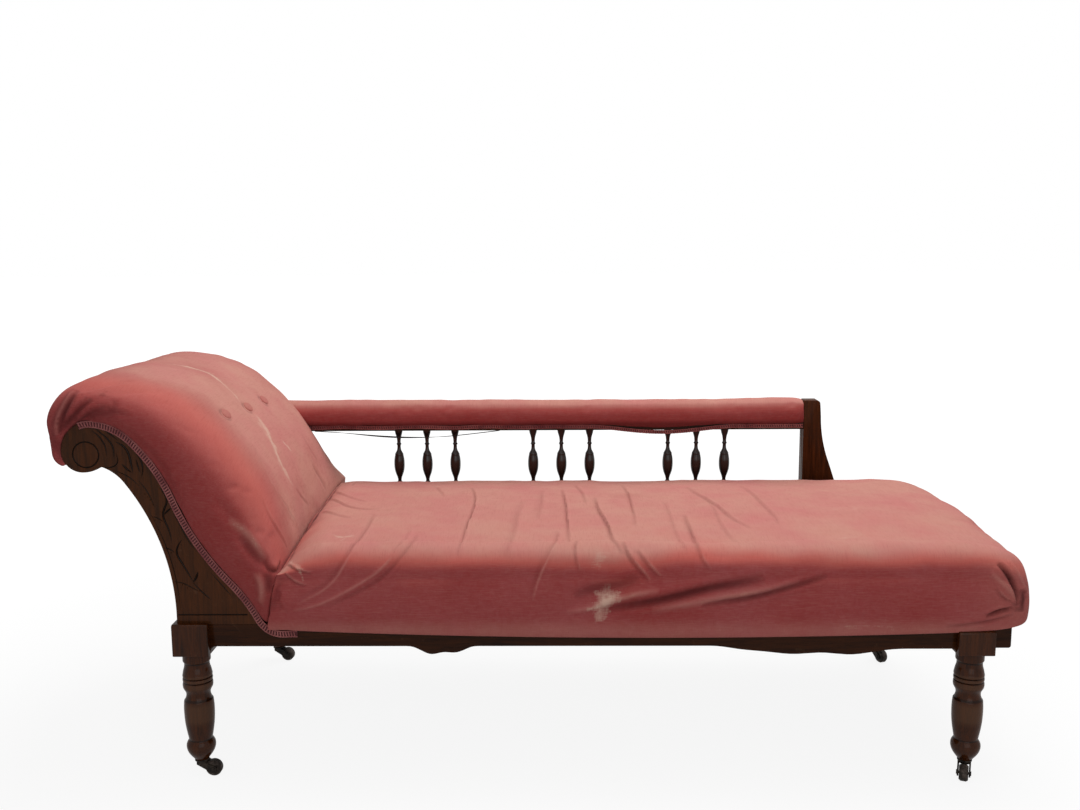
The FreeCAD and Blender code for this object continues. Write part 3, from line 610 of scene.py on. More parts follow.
def mahogany(name, grain, dark, red, gloss=0.10):
    """Polished mahogany: fine grain along one axis, reddish zones, scuffs, and painted shade in its carving.
    """
    s = Shader(name)
    stretch = {"X": (1.0, 14.0, 14.0), "Z": (14.0, 14.0, 1.0)}[grain]
    wander = s.cloud(s.place, 3.2, 3.0, 0.5)
    figure = s.cloud(s.stretched(tuple(4.0 * k for k in stretch)), 1.6, 6.0, 0.62, 1.1)
    pores = s.cloud(s.stretched(tuple(26.0 * k for k in stretch)), 1.4, 3.0, 0.7)
    zone = s.ramp(wander, (0.38, 0.0), (0.68, 1.0))
    scuff = s.ramp(s.cloud(s.place, 46.0, 6.0, 0.72, 0.6), (0.60, 0.0), (0.74, 1.0))
    colour = s.tint(s.ramp(figure, (0.30, 0.0), (0.72, 1.0)), dark, red)
    colour = s.tint(zone * 0.45, colour, red)
    colour = s.tint(s.ramp(pores, (0.50, 0.0), (0.70, 0.5)), colour, tuple(0.45 * c for c in dark))
    colour = s.tint(scuff * 0.28, colour, look().wood_scuffed)
    # Painted shade in the carved lines and turned grooves.
    colour = s.tint(s.painted("recess") * 0.85, colour, look().wood_recess)
    colour = s.tint(s.painted("edge") * 0.35, colour, look().wood_scuffed)
    height = 0.5 * figure + 0.6 * pores + 0.25 * scuff
    rough = 0.30 + 0.16 * figure + 0.22 * scuff
    return s.finish(Base_Color=colour, Roughness=rough, Normal=s.bump(height, 0.22, 0.0006),
                    Coat_Weight=gloss, Coat_Roughness=0.16, Specular_IOR_Level=0.02)


def plain_cloth(name, tone, light, threads, bumpy):
    """A woven cloth: threads across one another, with some unevenness."""
    s = Shader(name)
    warp = s.cloud(s.stretched((threads, threads * 0.06, threads * 0.06)), 1.0, 1.0, 0.5)
    weft = s.cloud(s.stretched((threads * 0.06, threads, threads)), 1.0, 1.0, 0.5)
    stain = s.cloud(s.place, 9.0, 4.0, 0.6)
    colour = s.tint(s.ramp(warp * weft, (0.12, 0.0), (0.42, 1.0)), tone, light)
    colour = s.tint(s.ramp(stain, (0.45, 0.0), (0.75, 0.4)), colour, tuple(0.55 * c for c in tone))
    return s.finish(Base_Color=colour, Roughness=0.9, Normal=s.bump(warp + weft, bumpy, 0.0006),
                    Specular_IOR_Level=0.1)


def braid_cloth(name):
    """Woven gimp: rose silk, darker between its loops, paler where it is rubbed."""
    s = Shader(name)
    tones = look()
    strand = s.cloud(s.place, 900.0, 2.0, 0.6)
    patch = s.cloud(s.place, 24.0, 4.0, 0.6)
    colour = s.tint(s.ramp(patch, (0.35, 0.0), (0.70, 1.0)), tones.braid_deep, tones.braid_pale)
    colour = s.tint(s.painted("raised"), tuple(0.45 * c for c in tones.braid_deep), colour)
    return s.finish(Base_Color=colour, Roughness=0.75, Normal=s.bump(strand, 0.4, 0.0004),
                    Sheen_Weight=0.15, Specular_IOR_Level=0.2)


def old_metal(name, tone, worn, metallic, gloss):
    """Blackened iron or worn brass, brighter where it rubs."""
    s = Shader(name)
    spots = s.cloud(s.place, 190.0, 5.0, 0.65)
    rub = s.ramp(s.cloud(s.place, 60.0, 4.0, 0.6), (0.46, 0.0), (0.68, 1.0))
    colour = s.tint(rub, tone, worn)
    colour = s.tint(s.ramp(spots, (0.55, 0.0), (0.75, 0.6)), colour, tuple(0.5 * c for c in tone))
    rough = gloss + 0.25 * spots
    return s.finish(Base_Color=colour, Roughness=rough, Metallic=metallic,
                    Normal=s.bump(spots, 0.3, 0.0005), Specular_IOR_Level=0.12)


def pale_wood(name, tone, light):
    """Plain unfinished frame wood."""
    s = Shader(name)
    grain = s.cloud(s.stretched((6.0, 90.0, 90.0)), 1.5, 5.0, 0.6, 0.8)
    return s.finish(Base_Color=s.tint(grain, tone, light), Roughness=0.7, Normal=s.bump(grain, 0.3, 0.0006))


def coppered_wire(name):
    """Spring wire, its copper wash gone dull."""
    s = Shader(name)
    spots = s.cloud(s.place, 140.0, 4.0, 0.6)
    colour = s.tint(spots, (0.20, 0.13, 0.09), (0.42, 0.27, 0.17))
    return s.finish(Base_Color=colour, Roughness=0.35 + 0.3 * spots, Metallic=0.9)


# Soft pads: how a cover moves, creases and wears, and the light and shade painted on it

class Cover:
    """A pad's cover, whose folds are laid where the camera sees them."""

    def __init__(self, obj):
        self.obj = obj
        self.points = of_vertices(obj.data)
        self.normals = of_vertices(obj.data, "normal")
        self.tree = tree_of(obj.data)
        self.lift = np.zeros(len(self.points))
        # The layers hold fading mixed with painted light, rubbing mixed with painted red light on the rolls,
        # grime mixed with painted shade, and wear with painted highlights on fold crests.
        self.layers = {name: np.zeros(len(self.points)) for name in ("faded", "rubbed", "worn", "grime")}

    def on_surface(self, pixels, spacing=0.003):
        """A smooth line on the cover through what is seen at these points of the image."""
        hits = [p for p in (seen_on(self.tree, *pixel) for pixel in pixels) if p is not None]
        if len(hits) < 2:
            return None
        length = sum((b - a).length for a, b in zip(hits, hits[1:]))
        line = smooth_line([tuple(p) for p in hits], max(6, int(length / spacing)))
        return np.array([self.tree.find_nearest(Vector(p))[0] for p in line])

    def near(self, line, reach):
        """The cover's points within reach of a line: their index, distance, share along it, and side."""
        low, high = line.min(0) - reach, line.max(0) + reach
        index = np.where(((self.points > low) & (self.points < high)).all(1))[0]
        if not len(index):
            return index, None, None, None
        apart = self.points[index][:, None, :] - line[None, :, :]
        squares = (apart ** 2).sum(2)
        nearest = squares.argmin(1)
        distance = np.sqrt(squares[np.arange(len(index)), nearest])
        way = np.gradient(line, axis=0)
        left = np.cross(self.normals[index], way[nearest])
        side = np.sign((apart[np.arange(len(index)), nearest] * left).sum(1))
        return index, distance, nearest / (len(line) - 1), side

    def fold(self, pixels, width, height, kind="ridge", ends=0.5, dirt_and_shade=0.0):
        """Raises a ridge, sinks a valley, or rolls one side of a line over the other."""
        line = self.on_surface(pixels)
        if line is None:
            return
        index, distance, share, side = self.near(line, 3.2 * width)
        if not len(index):
            return
        fade = (4 * share * (1 - share)).clip(0, 1) ** ends
        bell = np.exp(-(distance / width) ** 2)
        if kind == "ridge":
            move = height * bell
        elif kind == "valley":
            move = -height * bell + 0.35 * height * np.exp(-((distance - 1.9 * width) / width) ** 2)
        else:
            signed = distance * side / width
            move = height * 1.6 * signed * np.exp(-signed ** 2)
        self.lift[index] += move * fade
        # Painted highlight along the crests of ridges and rolls, laid in the faded and worn layers.
        crest = bell ** 2 if kind == "ridge" else np.exp(-((distance * side / width) - 0.8) ** 2 * 5)
        if kind != "valley":
            self.layers["faded"][index] = np.maximum(self.layers["faded"][index], 0.5 * crest * fade)
            self.layers["worn"][index] = np.maximum(self.layers["worn"][index], 0.34 * crest * fade)
        # Painted shade, with some dirt, down the valley or under the roll.
        if dirt_and_shade:
            low = bell if kind != "roll" else np.exp(-((distance * side / width) + 0.7) ** 2)
            layer = self.layers["grime"]
            layer[index] = np.maximum(layer[index], dirt_and_shade * low * fade)

    def stain(self, layer, pixels, width, strength, ends=0.5):
        """Marks a layer along a line."""
        line = self.on_surface(pixels)
        if line is None:
            return
        index, distance, share, _ = self.near(line, 3 * width)
        if not len(index):
            return
        ragged = [noise.noise(Vector(p) * 55) + 0.6 * noise.noise(Vector(p) * 160)
                  for p in self.points[index]]
        distance = distance * np.clip(1 + 1.1 * np.array(ragged), 0.35, 3)
        fade = (4 * share * (1 - share)).clip(0, 1) ** ends
        values = self.layers[layer]
        values[index] = np.maximum(values[index], strength * np.exp(-(distance / width) ** 2) * fade)

    def dimple(self, centre, radius, depth):
        """Sinks the cover round a point, with a painted ring of shade down in the dimple."""
        distance = np.linalg.norm(self.points - np.array(centre), axis=1)
        self.lift -= depth * np.exp(-(distance / radius) ** 1.6)
        ring = np.exp(-((distance - 0.62 * radius) / (0.18 * radius)) ** 2)
        self.layers["grime"] = np.maximum(self.layers["grime"], 0.32 * ring)

    def unevenness(self, scale, height, mask, seed):
        """A gentle, cloudy lift over the masked part."""
        offset = Vector((seed * 7.3, seed * 3.1, seed * 1.7))
        for i in np.where(mask > 0.01)[0]:
            p = Vector(self.points[i])
            self.lift[i] += height * mask[i] * noise.noise(p * scale + offset)

    def cloudy(self, scale, seed):
        """A cloudy value for each point, from about -0.5 to 0.5."""
        offset = Vector((seed * 5.1, seed * 2.3, seed * 8.9))
        return np.array([noise.noise(Vector(p) * scale + offset) for p in self.points])

    def wear(self, folds, stains, narrower=lambda width: width):
        """Lays the tables of folds and stains on the cover."""
        for pixels, width, height, kind, dirt_and_shade in folds:
            self.fold(pixels, narrower(width) * MM, height * MM, kind, 0.5, dirt_and_shade)
        for layer, pixels, width, strength in stains:
            self.stain(layer, pixels, width * MM, strength)

    def settle(self, shown):
        """Moves the cover's points by their lift where it shows, and stores the layers."""
        moved = self.points + self.normals * (self.lift * shown)[:, None]
        set_coords(self.obj.data, moved)
        for name, values in self.layers.items():
            set_attribute(self.obj, name, values.clip(0, 1))


cloth_frames = 20


def stuffed(obj, loose, pressure, slack, cap):
    """Swells a pad's cover as cloth under the stuffing's pressure, and limits how far it moves."""
    scene = bpy.context.scene
    before = of_vertices(obj.data)
    group = obj.vertex_groups.new(name="held")
    for i, free in enumerate(loose):
        group.add([i], float(1 - free), "REPLACE")
    cloth = obj.modifiers.new("Cloth", "CLOTH")
    for name, value in {"quality": 6, "mass": 0.25, "tension_stiffness": 12, "compression_stiffness": 12,
                        "shear_stiffness": 4, "bending_stiffness": 0.6, "use_pressure": True,
                        "uniform_pressure_force": pressure, "shrink_min": -slack,
                        "vertex_group_mass": "held"}.items():
        setattr(cloth.settings, name, value)
    cloth.settings.effector_weights.gravity = 0
    cloth.collision_settings.use_collision = False
    cloth.point_cache.frame_start, cloth.point_cache.frame_end = 1, cloth_frames
    for step in range(1, cloth_frames + 1):
        scene.frame_set(step)
    select_only(obj)
    bpy.ops.object.modifier_apply(modifier=cloth.name)
    scene.frame_set(1)
    obj.vertex_groups.clear()
    moved = of_vertices(obj.data) - before
    far = np.linalg.norm(moved, axis=1)
    share = np.minimum(1, cap / np.maximum(far, 1e-9))
    set_coords(obj.data, before + moved * (share * loose)[:, None])
    return obj


# The scroll's lines, as the frame has them

volute_low = place(-153, 279)
volute_left = place(-187, 311)
volute_top = place(-129, 369)
pad_spans = [
    (place(112, 62), place(192, 138)),
    (place(10, 215), place(115, 266)),
    (place(-38, 305), place(22, 376)),
    (place(-91, 357), place(-74, 425)),
    (place(-150, 366), place(-158, 434)),
    (place(-182, 335), place(-214, 374)),
    (place(-187, 311), place(-208, 313)),
]
arc_counts = (30, 22, 18, 14, 14, 12, 8)
crease_angle = 121.06  # degrees, of the padding's first arc where it leaves the crease
border_corners = [volute_top, place(-62, 337), place(6, 233), place(103, 79), place(156, 0)]
border_counts = (24, 40, 60, 36)
border_angle = -6  # degrees, of the border over the scroll's top, towards the seat
volute_steps = 40

# Where the seat and the scroll's padding are seen to meet, and how far across the couch that is
crease_seen = [((281, 569), -0.285), ((290, 556), -0.21), ((300, 540), -0.12), ((310, 525), -0.02),
               ((325, 504), 0.115), ((341, 482), 0.250)]


crease_across = [y for _, y in crease_seen]
crease_places = np.array([seen_on_plane(px, py, y) for (px, py), y in crease_seen])


def crease_at(y):
    """The (x, z) of the seat's crease at this y."""
    return taken_at(y, crease_across, crease_places)


def panel_border():
    """The padded edge of the scroll side, from the rail up over the scroll to the padding's tucked end."""
    up = chain(border_corners, border_angle, border_counts)[::-1]
    left, angle = arc_points(volute_top, border_angle + 180, volute_left, volute_steps)
    down, _ = arc_points(volute_left, angle, volute_low, volute_steps)
    tucked = int(0.40 * volute_steps)
    return np.vstack([up, left[1:], down[1:tucked + 1]])


def border_points():
    """The border again, one point beside each point of the padding's skin."""
    line = panel_border()
    along = lengths(line)
    anchors = [0.0]
    for under, _ in pad_spans[1:]:
        anchors.append(along[np.linalg.norm(line - under, axis=1).argmin()])
    anchors.append(along[-1])
    at = [np.array([0.0])]
    for low, high, count in zip(anchors, anchors[1:], arc_counts):
        at.append(np.linspace(low, high, count + 1)[1:])
    at = np.concatenate(at)
    border = taken_at(at, along, line)
    border[:3] = place(165.5, 0.6), place(160, 1.5), place(155, 4.5)
    return border


def skin_line(fullness, crease):
    """The padding's skin from the crease up over the scroll, where it has this fullness."""
    end_inside = panel_border()[-1]
    points = [crease]
    for under, over in pad_spans[1:]:
        points.append(under + (over - under) * fullness)
    points.append(end_inside + (place(-9, -2) - place(0, 0)) * fullness)
    first = points[1] - points[0]
    angle = 2 * math.degrees(math.atan2(first[1], first[0])) - crease_angle
    return chain(points, angle, arc_counts)


# Half of the padding's section across the scroll: its fullness and its distance from the middle
side_profile = [(0.0, 303.6), (0.10, 308.0), (0.26, 313.5), (0.44, 315.5), (0.60, 313.0), (0.74, 306.5),
                (0.86, 296.0), (0.95, 280.0), (1.01, 260.0), (1.05, 236.0), (1.085, 200.0), (1.11, 150.0),
                (1.12, 80.0), (1.12, 0.0)]
full_side = 0.80  # the fullness up to which the padding's side rises from the border
side_y = 303.6 * MM  # where the padding meets the face of a scroll side
least_rise = 0.006  # share of the padding's thickness that lifts it off the wood


def padding_rings():
    """Rings of the scroll's padding, from the crease to its tucked end, and which columns show."""
    thick = 0.117
    half = smooth_line([(f * thick, y * MM) for f, y in side_profile], 66)
    columns = [(f / thick, -y) for f, y in half] + [(f / thick, y) for f, y in half[::-1][1:]]
    border = border_points()
    whole = skin_line(1.0, crease_at(0.0)) - border
    bulge = np.clip(np.linalg.norm(whole, axis=1) / 0.075, 0.2, 1.0)
    sheets = []
    for fullness, y in columns:
        skin = skin_line(max(fullness, full_side), crease_at(np.clip(y, -0.303, 0.303)))
        if fullness < full_side:
            rise = least_rise + (1 - least_rise) * fullness / full_side
            skin = border + (skin - border) * rise
        out = y
        beyond = abs(y) - side_y
        if beyond > 0:
            out = math.copysign(1, y) * (side_y + beyond * bulge)
        sheets.append(at_depth(skin, out))
    under_count = 12
    base = border + whole * least_rise
    for y in np.linspace(side_y, -side_y, under_count + 2)[1:-1]:
        sheets.append(at_depth(base, y))
    rings = np.stack(sheets, axis=1)
    shows = np.concatenate([np.ones(len(columns)), np.zeros(under_count)])
    return rings, shows


# Seat

seat_top, seat_crown = 0.438, 0.450  # heights of the seat's edge and of its middle
seat_back = 0.258
well_front, well_back, well_roof = -0.2406, 0.2266, 0.3722  # room for the springs inside the seat
well_foot = 0.7455


def seat_outline(drop, draw_in, skirt, well):
    """The seat's outline across the couch: (y, z) points, and whether each of them shows."""
    front = -frame_face - 0.5 * MM
    edge = -frame_face - 7 * MM + draw_in * 0.6
    bulge = -frame_face - 20 * MM + draw_in
    roll, brow = bulge + 4 * MM, bulge + 60 * MM
    back, ridge = seat_back - draw_in, seat_back - draw_in - 38 * MM
    top, crown = seat_top - drop, seat_crown - drop
    deck = rail_top + rest_gap
    side_top = deck + (top - deck) * 0.64
    foot = front + draw_in * 0.6
    roof = deck + (well_roof - deck) * well
    pieces = [
        (np.array([[foot, skirt]]), 0),
        (straight((foot, skirt), (edge, skirt), 1), 1),
        (arc_through((edge, skirt), (bulge, skirt + (side_top - skirt) * 0.5), (roll, side_top), 24), 1),
        (arc_through((roll, side_top), (bulge + 16 * MM, side_top + (top - side_top) * 0.73),
                     (brow, top), 18), 1),
        (arc_through((brow, top), ((brow + back) / 2, crown), (ridge, top + 3 * MM), 78), 1),
        (arc_through((ridge, top + 3 * MM), (back - 11 * MM, top - 4 * MM), (back, top - 32 * MM), 9), 1),
        (straight((back, top - 32 * MM), (back, deck), 7), 0.4),
        (straight((back, deck), (well_back, deck), 2), 0),
        (straight((well_back, deck), (well_back, roof), 1), 0),
        (straight((well_back, roof), (well_front, roof), 8), 0),
        (straight((well_front, roof), (well_front, deck), 1), 0),
        (straight((well_front, deck), (foot, deck), 2), 0),
        (straight((foot, deck), (foot, skirt), 3)[:-1], 0),
    ]
    points = np.vstack([p for p, _ in pieces])
    shown = np.concatenate([np.full(len(p), s) for p, s in pieces])
    return points, shown


def skirt_height(x):
    """The bowed lower edge of the seat's cover along the front rail."""
    head_x, head_z = place(182, -9)
    middle_x = (head_x + frame_foot) / 2 + 0.150
    foot = (frame_foot + 5 * MM, rail_top - 12 * MM)
    line = arc_through((head_x, head_z), (middle_x, rail_top - 24 * MM), foot, 60)
    return np.interp(x, line[:, 0], line[:, 1], left=head_z)


def seat_rings():
    """Rings of the seat, from the crease to the rolled foot, and how much each point shows."""
    foot = frame_foot + 33 * MM
    # The rolled foot: (place along from its tip, drop of the top, how far the sides draw in)
    end = [(-140, 0, 0), (-84, 5, 0), (-44, 14, 1), (-18, 30, 9), (-5, 55, 22), (0, 80, 36)]
    end = smooth_line(np.array(end, float) * MM, 34)
    body_end = foot + end[0, 0]
    crease_x = place(164.5, 0)[0]
    well_head = crease_x + 61 * MM
    body = np.linspace(crease_x, body_end, 225)
    stations = [(x, 0.0, 0.0) for x in body[:-1]] + [(foot + x, d, i) for x, d, i in end]
    rings, shows = [], []
    for x, drop, draw_in in stations:
        well = 1.0 if well_head < x < well_foot else 0.0
        skirt = skirt_height(x) + drop * 0.3
        outline, shown = seat_outline(drop, draw_in, skirt, well)
        along = (x - crease_x) / (body_end - crease_x)
        slant = np.clip(1 - along * 5.5, 0, 1) ** 1.5
        meet = np.array([crease_at(y) for y in outline[:, 0]])
        height = np.clip((outline[:, 1] - rail_top) / np.maximum(meet[:, 1] - rail_top, 1e-3), 0, 1)
        lean = (meet[:, 0] - crease_x) * height
        x_now = x + slant * lean
        rise = np.interp(outline[:, 0], (-0.3, 0.25), (0.095, 0.05))
        near = np.clip((x - crease_x) / rise, 0, 1)
        lower = np.maximum(outline[:, 1] - meet[:, 1], 0) * (1 - np.sin(near * math.pi / 2) ** 0.8)
        z_now = outline[:, 1] - lower * (outline[:, 1] > rail_top + 10 * MM)
        rings.append(np.stack([x_now, outline[:, 0], z_now], axis=1))
        shows.append(shown)
    return np.stack(rings), np.stack(shows)


# Property groups

def hue(name, description, *colour):
    """A colour that the user may change."""
    return FloatVectorProperty(name=name, description=description, subtype="COLOR", default=colour)


def size_setting(name, description, millimetres, least=0.0):
    """A size that the user may change."""
    return FloatProperty(name=name, description=description, subtype="DISTANCE", unit="LENGTH",
                         default=millimetres * MM, min=least * MM)


class CouchLook(bpy.types.PropertyGroup):
    """Colours and finish of the couch."""

    velvet_deep: hue("Velvet, deep", "Upright velvet where the pile is whole", 0.335, 0.050, 0.048)
    velvet_dusk: hue("Velvet, dusky", "Upright velvet where it is a little dusty", 0.385, 0.085, 0.086)
    # The rolls' strong red is painted light laid on them by how they face, with some real rubbing.
    velvet_rubbed_lit: hue("Velvet, rubbed", "Velvet on the rolls, rubbed to a strong red", 0.60, 0.135, 0.110)
    # The top colours are paler than the upright velvet partly from sun fading and partly as painted light on
    # the faces that look up.
    velvet_faded_lit: hue("Velvet, faded", "Velvet on top, bleached to dusty pink", 0.60, 0.275, 0.222)
    velvet_rosy: hue("Velvet, rosy", "Velvet on top with more of its colour left", 0.58, 0.195, 0.185)
    velvet_worn: hue("Velvet, worn through", "The pale backing in the worn patches", 0.70, 0.46, 0.36)
    # The fold colour is painted shade, with some grime, down in folds, gathers and creases and under the
    # pads.
    velvet_grime_and_shade: hue("Velvet, in folds", "Velvet down in its folds and gathers", 0.055, 0.011, 0.012)
    wood_dark: hue("Mahogany, dark", "Dark figure of the polished wood", 0.017, 0.0055, 0.0022)
    wood_red: hue("Mahogany, red", "Reddish figure of the polished wood", 0.088, 0.023, 0.0055)
    wood_scuffed: hue("Mahogany, scuffed", "Rubbed edges and scuffs of the wood", 0.16, 0.080, 0.042)
    # The carved colour is painted shade, laid into the carved lines and turned grooves.
    wood_recess: hue("Mahogany, carved", "Dark polish left in the carved lines", 0.006, 0.003, 0.002)
    braid_deep: hue("Braid, deep", "The braid between its loops", 0.20, 0.042, 0.046)
    braid_pale: hue("Braid, pale", "The braid's raised loops", 0.44, 0.155, 0.145)


class CouchSizes(bpy.types.PropertyGroup):
    """Sizes of the couch's fine detail."""

    ease: size_setting("Eased edges", "Width of the worn edges of the frame's wood", 1.6)
    carving_width: FloatProperty(
        name="Carving width", description="Width of the carved lines, as a share of the pattern's",
        default=1.25, min=0.1)
    braid_pitch: size_setting("Braid pitch", "Distance from one loop of the braid to the next", 5.0, 1.0)
    button_radius: size_setting("Button radius", "Radius of the covered buttons", 11.2, 2.0)
    lathe_steps: IntProperty(name="Lathe steps", description="Sides of each turned leg", default=56, min=12)


def sizes():
    """The scene's sizes of the couch's fine detail."""
    return bpy.context.scene.couch_sizes


# Operators

class CouchStage(bpy.types.Operator):
    """Floor, light and camera"""

    bl_idname = "couch.stage"
    bl_label = "Stage"

    def execute(self, context):
        context.scene.view_settings.view_transform = "Standard"
        bpy.ops.mesh.primitive_plane_add(size=1, location=(0, 0, 0))
        floor = context.object
        floor.name = "floor"
        floor.data.transform(Matrix.Diagonal((60, 60, 1, 1)))
        floor.data.materials.append(self.floor_finish())
        self.world(context.scene)
        self.lamp("key_light", (0.8, 0.7, 3.0), (0.0, 0.0, 0.35), 2.2, 58)
        self.lamp("top_light", (-0.5, -0.7, 3.1), (0.0, 0.0, 0.3), 2.6, 14)
        self.lamp("fill_light", (0.5, -3.2, 1.5), (0.1, 0.0, 0.35), 2.4, 23)
        self.camera(context.scene)
        return {"FINISHED"}

    def floor_finish(self):
        """A pale floor that turns white away from the couch, where the camera or gloss sees it."""
        s = Shader("pale_floor")
        ray = s.add("ShaderNodeLightPath", {}, {}, "Is Camera Ray")
        mirrored = s.add("ShaderNodeLightPath", {}, {}, "Is Glossy Ray")
        far = s.add("ShaderNodeVectorMath", {"operation": "LENGTH"}, {0: s.place}, "Value")
        s.finish(Base_Color=(0.55, 0.55, 0.55), Roughness=0.9, Specular_IOR_Level=0.0)
        glow = s.add("ShaderNodeEmission", {}, {"Color": (1.0, 1.0, 1.0), "Strength": 1.12})
        shaded = Value(s, s.surface.outputs[0])
        share = s.ramp(far / 4.0, (0.25, 0.80), (0.85, 1.0))
        mixed = s.add("ShaderNodeMixShader", {}, {0: (ray + mirrored) * share, 1: shaded, 2: glow})
        fill(s.tree, s.tree.nodes["Material Output"].inputs["Surface"], mixed)
        return s.material

    def world(self, scene):
        """Soft light from all round, seen as white by the camera and by gloss."""
        scene.world = bpy.data.worlds.new("plain_light")
        scene.world.use_nodes = True
        sky = Nodes(scene.world.node_tree)
        ground = sky.tree.nodes["Background"]
        fill(sky.tree, ground.inputs["Color"], (1, 1, 1))
        fill(sky.tree, ground.inputs["Strength"], 0.24)
        shown = sky.add("ShaderNodeBackground", {}, {"Color": (1, 1, 1), "Strength": 1.0})
        ray = sky.add("ShaderNodeLightPath", {}, {}, "Is Camera Ray")
        mirrored = sky.add("ShaderNodeLightPath", {}, {}, "Is Glossy Ray")
        either = ray.maths("MAXIMUM", ray, mirrored)
        mixed = sky.add("ShaderNodeMixShader", {}, {0: either, 1: Value(sky, ground.outputs[0]), 2: shown})
        fill(sky.tree, sky.tree.nodes["World Output"].inputs["Surface"], mixed)

    def lamp(self, name, where, at, size, power):
        """A soft square lamp that looks at a point."""
        light = bpy.data.lights.new(name, "AREA")
        light.size = size
        light.energy = power
        obj = linked(name, light)
        obj.location = where
        obj.rotation_mode = "QUATERNION"
        obj.rotation_quaternion = (Vector(at) - Vector(where)).to_track_quat("-Z", "Y")

    def camera(self, scene):
        right, up, forward = camera_axes()
        lens = bpy.data.cameras.new("camera")
        lens.sensor_width = 36.0
        lens.lens = focal_pixels * lens.sensor_width / image_width
        lens.clip_start = 0.05
        obj = linked("camera", lens)
        axes = Matrix((right, up, -forward)).transposed().to_4x4()
        axes.translation = Vector(eye)
        obj.matrix_world = axes
        scene.camera = obj


class CouchFrameWood(bpy.types.Operator):
    """Rails and the gallery's end post, with eased edges"""

    bl_idname = "couch.frame_wood"
    bl_label = "Frame wood"

    def execute(self, context):
        tones = look()
        # The rails take a darker copy of the mahogany, painted shade for where they sit under the seat's
        # roll and the arm's pad.
        along = mahogany("mahogany_rail_shaded", "X", (0.010, 0.0032, 0.0014), (0.050, 0.014, 0.0038))
        upright = mahogany("mahogany_upright", "Z", tones.wood_dark, tones.wood_red, gloss=0.04)
        ease = sizes().ease
        for piece, node in (("front_rail", "front_seat_rail"), ("back_rail", "back_seat_rail"),
                            ("head_rail", "head_end_rail"), ("foot_rail", "foot_end_rail")):
            dress(eased(piece, node, ease), along, replaces=[node])
        post = eased("gallery_post", "arm_end_post", 2.4 * MM)
        dress(post, upright, replaces=["arm_end_post"])
        for node in ("arm_rail", "gallery_lower_rail"):
            refinish(node, along)
        beech = pale_wood("beech_frame", (0.34, 0.22, 0.12), (0.52, 0.37, 0.22))
        for node in ("head_roll_rail", "head_lumbar_rail"):
            refinish(node, beech)
        return {"FINISHED"}


# Carved lines of the front scroll side, by where they are seen: line, width in millimetres
carved_lines = [
    ([(91, 430), (100, 438), (105, 446.7), (106.7, 456)], 2.2),
    ([(94, 428), (105, 436.7), (112.5, 446.7), (114, 459)], 2.4),
    ([(101, 428), (110, 434), (118, 441)], 1.8),
    ([(115, 441.7), (125, 448), (130, 460), (133, 473)], 3.2),
    ([(126.7, 443), (136.7, 453), (141.7, 463), (142.5, 473), (141, 478)], 2.4),
    ([(136, 459), (138, 467), (140, 473)], 2.0),
    ([(121.7, 464), (126.7, 469), (131.7, 472.5)], 2.6),
    ([(101.7, 466.7), (110, 467.5), (116.7, 464), (116, 453)], 1.8),
    ([(113, 470), (130, 478), (140, 487)], 1.6),
    ([(158, 486), (166.7, 501.7), (163, 513), (168, 528), (171.7, 541.7)], 2.8),
    ([(171.7, 508), (166.7, 511.7), (164, 515)], 2.6),
    ([(173, 513), (180, 525), (186.7, 538), (196.7, 551.7)], 1.8),
    ([(182.5, 539), (177.5, 546.7), (176.7, 553), (181, 561.7), (193, 581.7)], 2.8),
    ([(198, 571.7), (196, 578), (193, 582.5)], 3.0),
    ([(193, 582.5), (201.7, 591.7), (211.7, 600)], 2.0),
    ([(210, 571.7), (220, 583), (233, 598)], 1.6),
    ([(173, 581.7), (182, 583), (190, 586.7), (200, 591.7)], 1.6),
    ([(163, 548), (169, 549), (175, 553)], 1.6),
    ([(151.7, 516.7), (157, 518), (163, 521.7)], 1.6),
    ([(138, 480), (146, 490), (155, 508)], 1.6),
]
punched_dots = [(145, 494), (147.5, 497), (150, 500), (153, 505), (155, 520), (160, 522.5), (166.7, 551),
                (171, 553), (176.7, 584), (182.5, 585), (187.5, 588), (163, 518), (181, 545), (196, 577)]


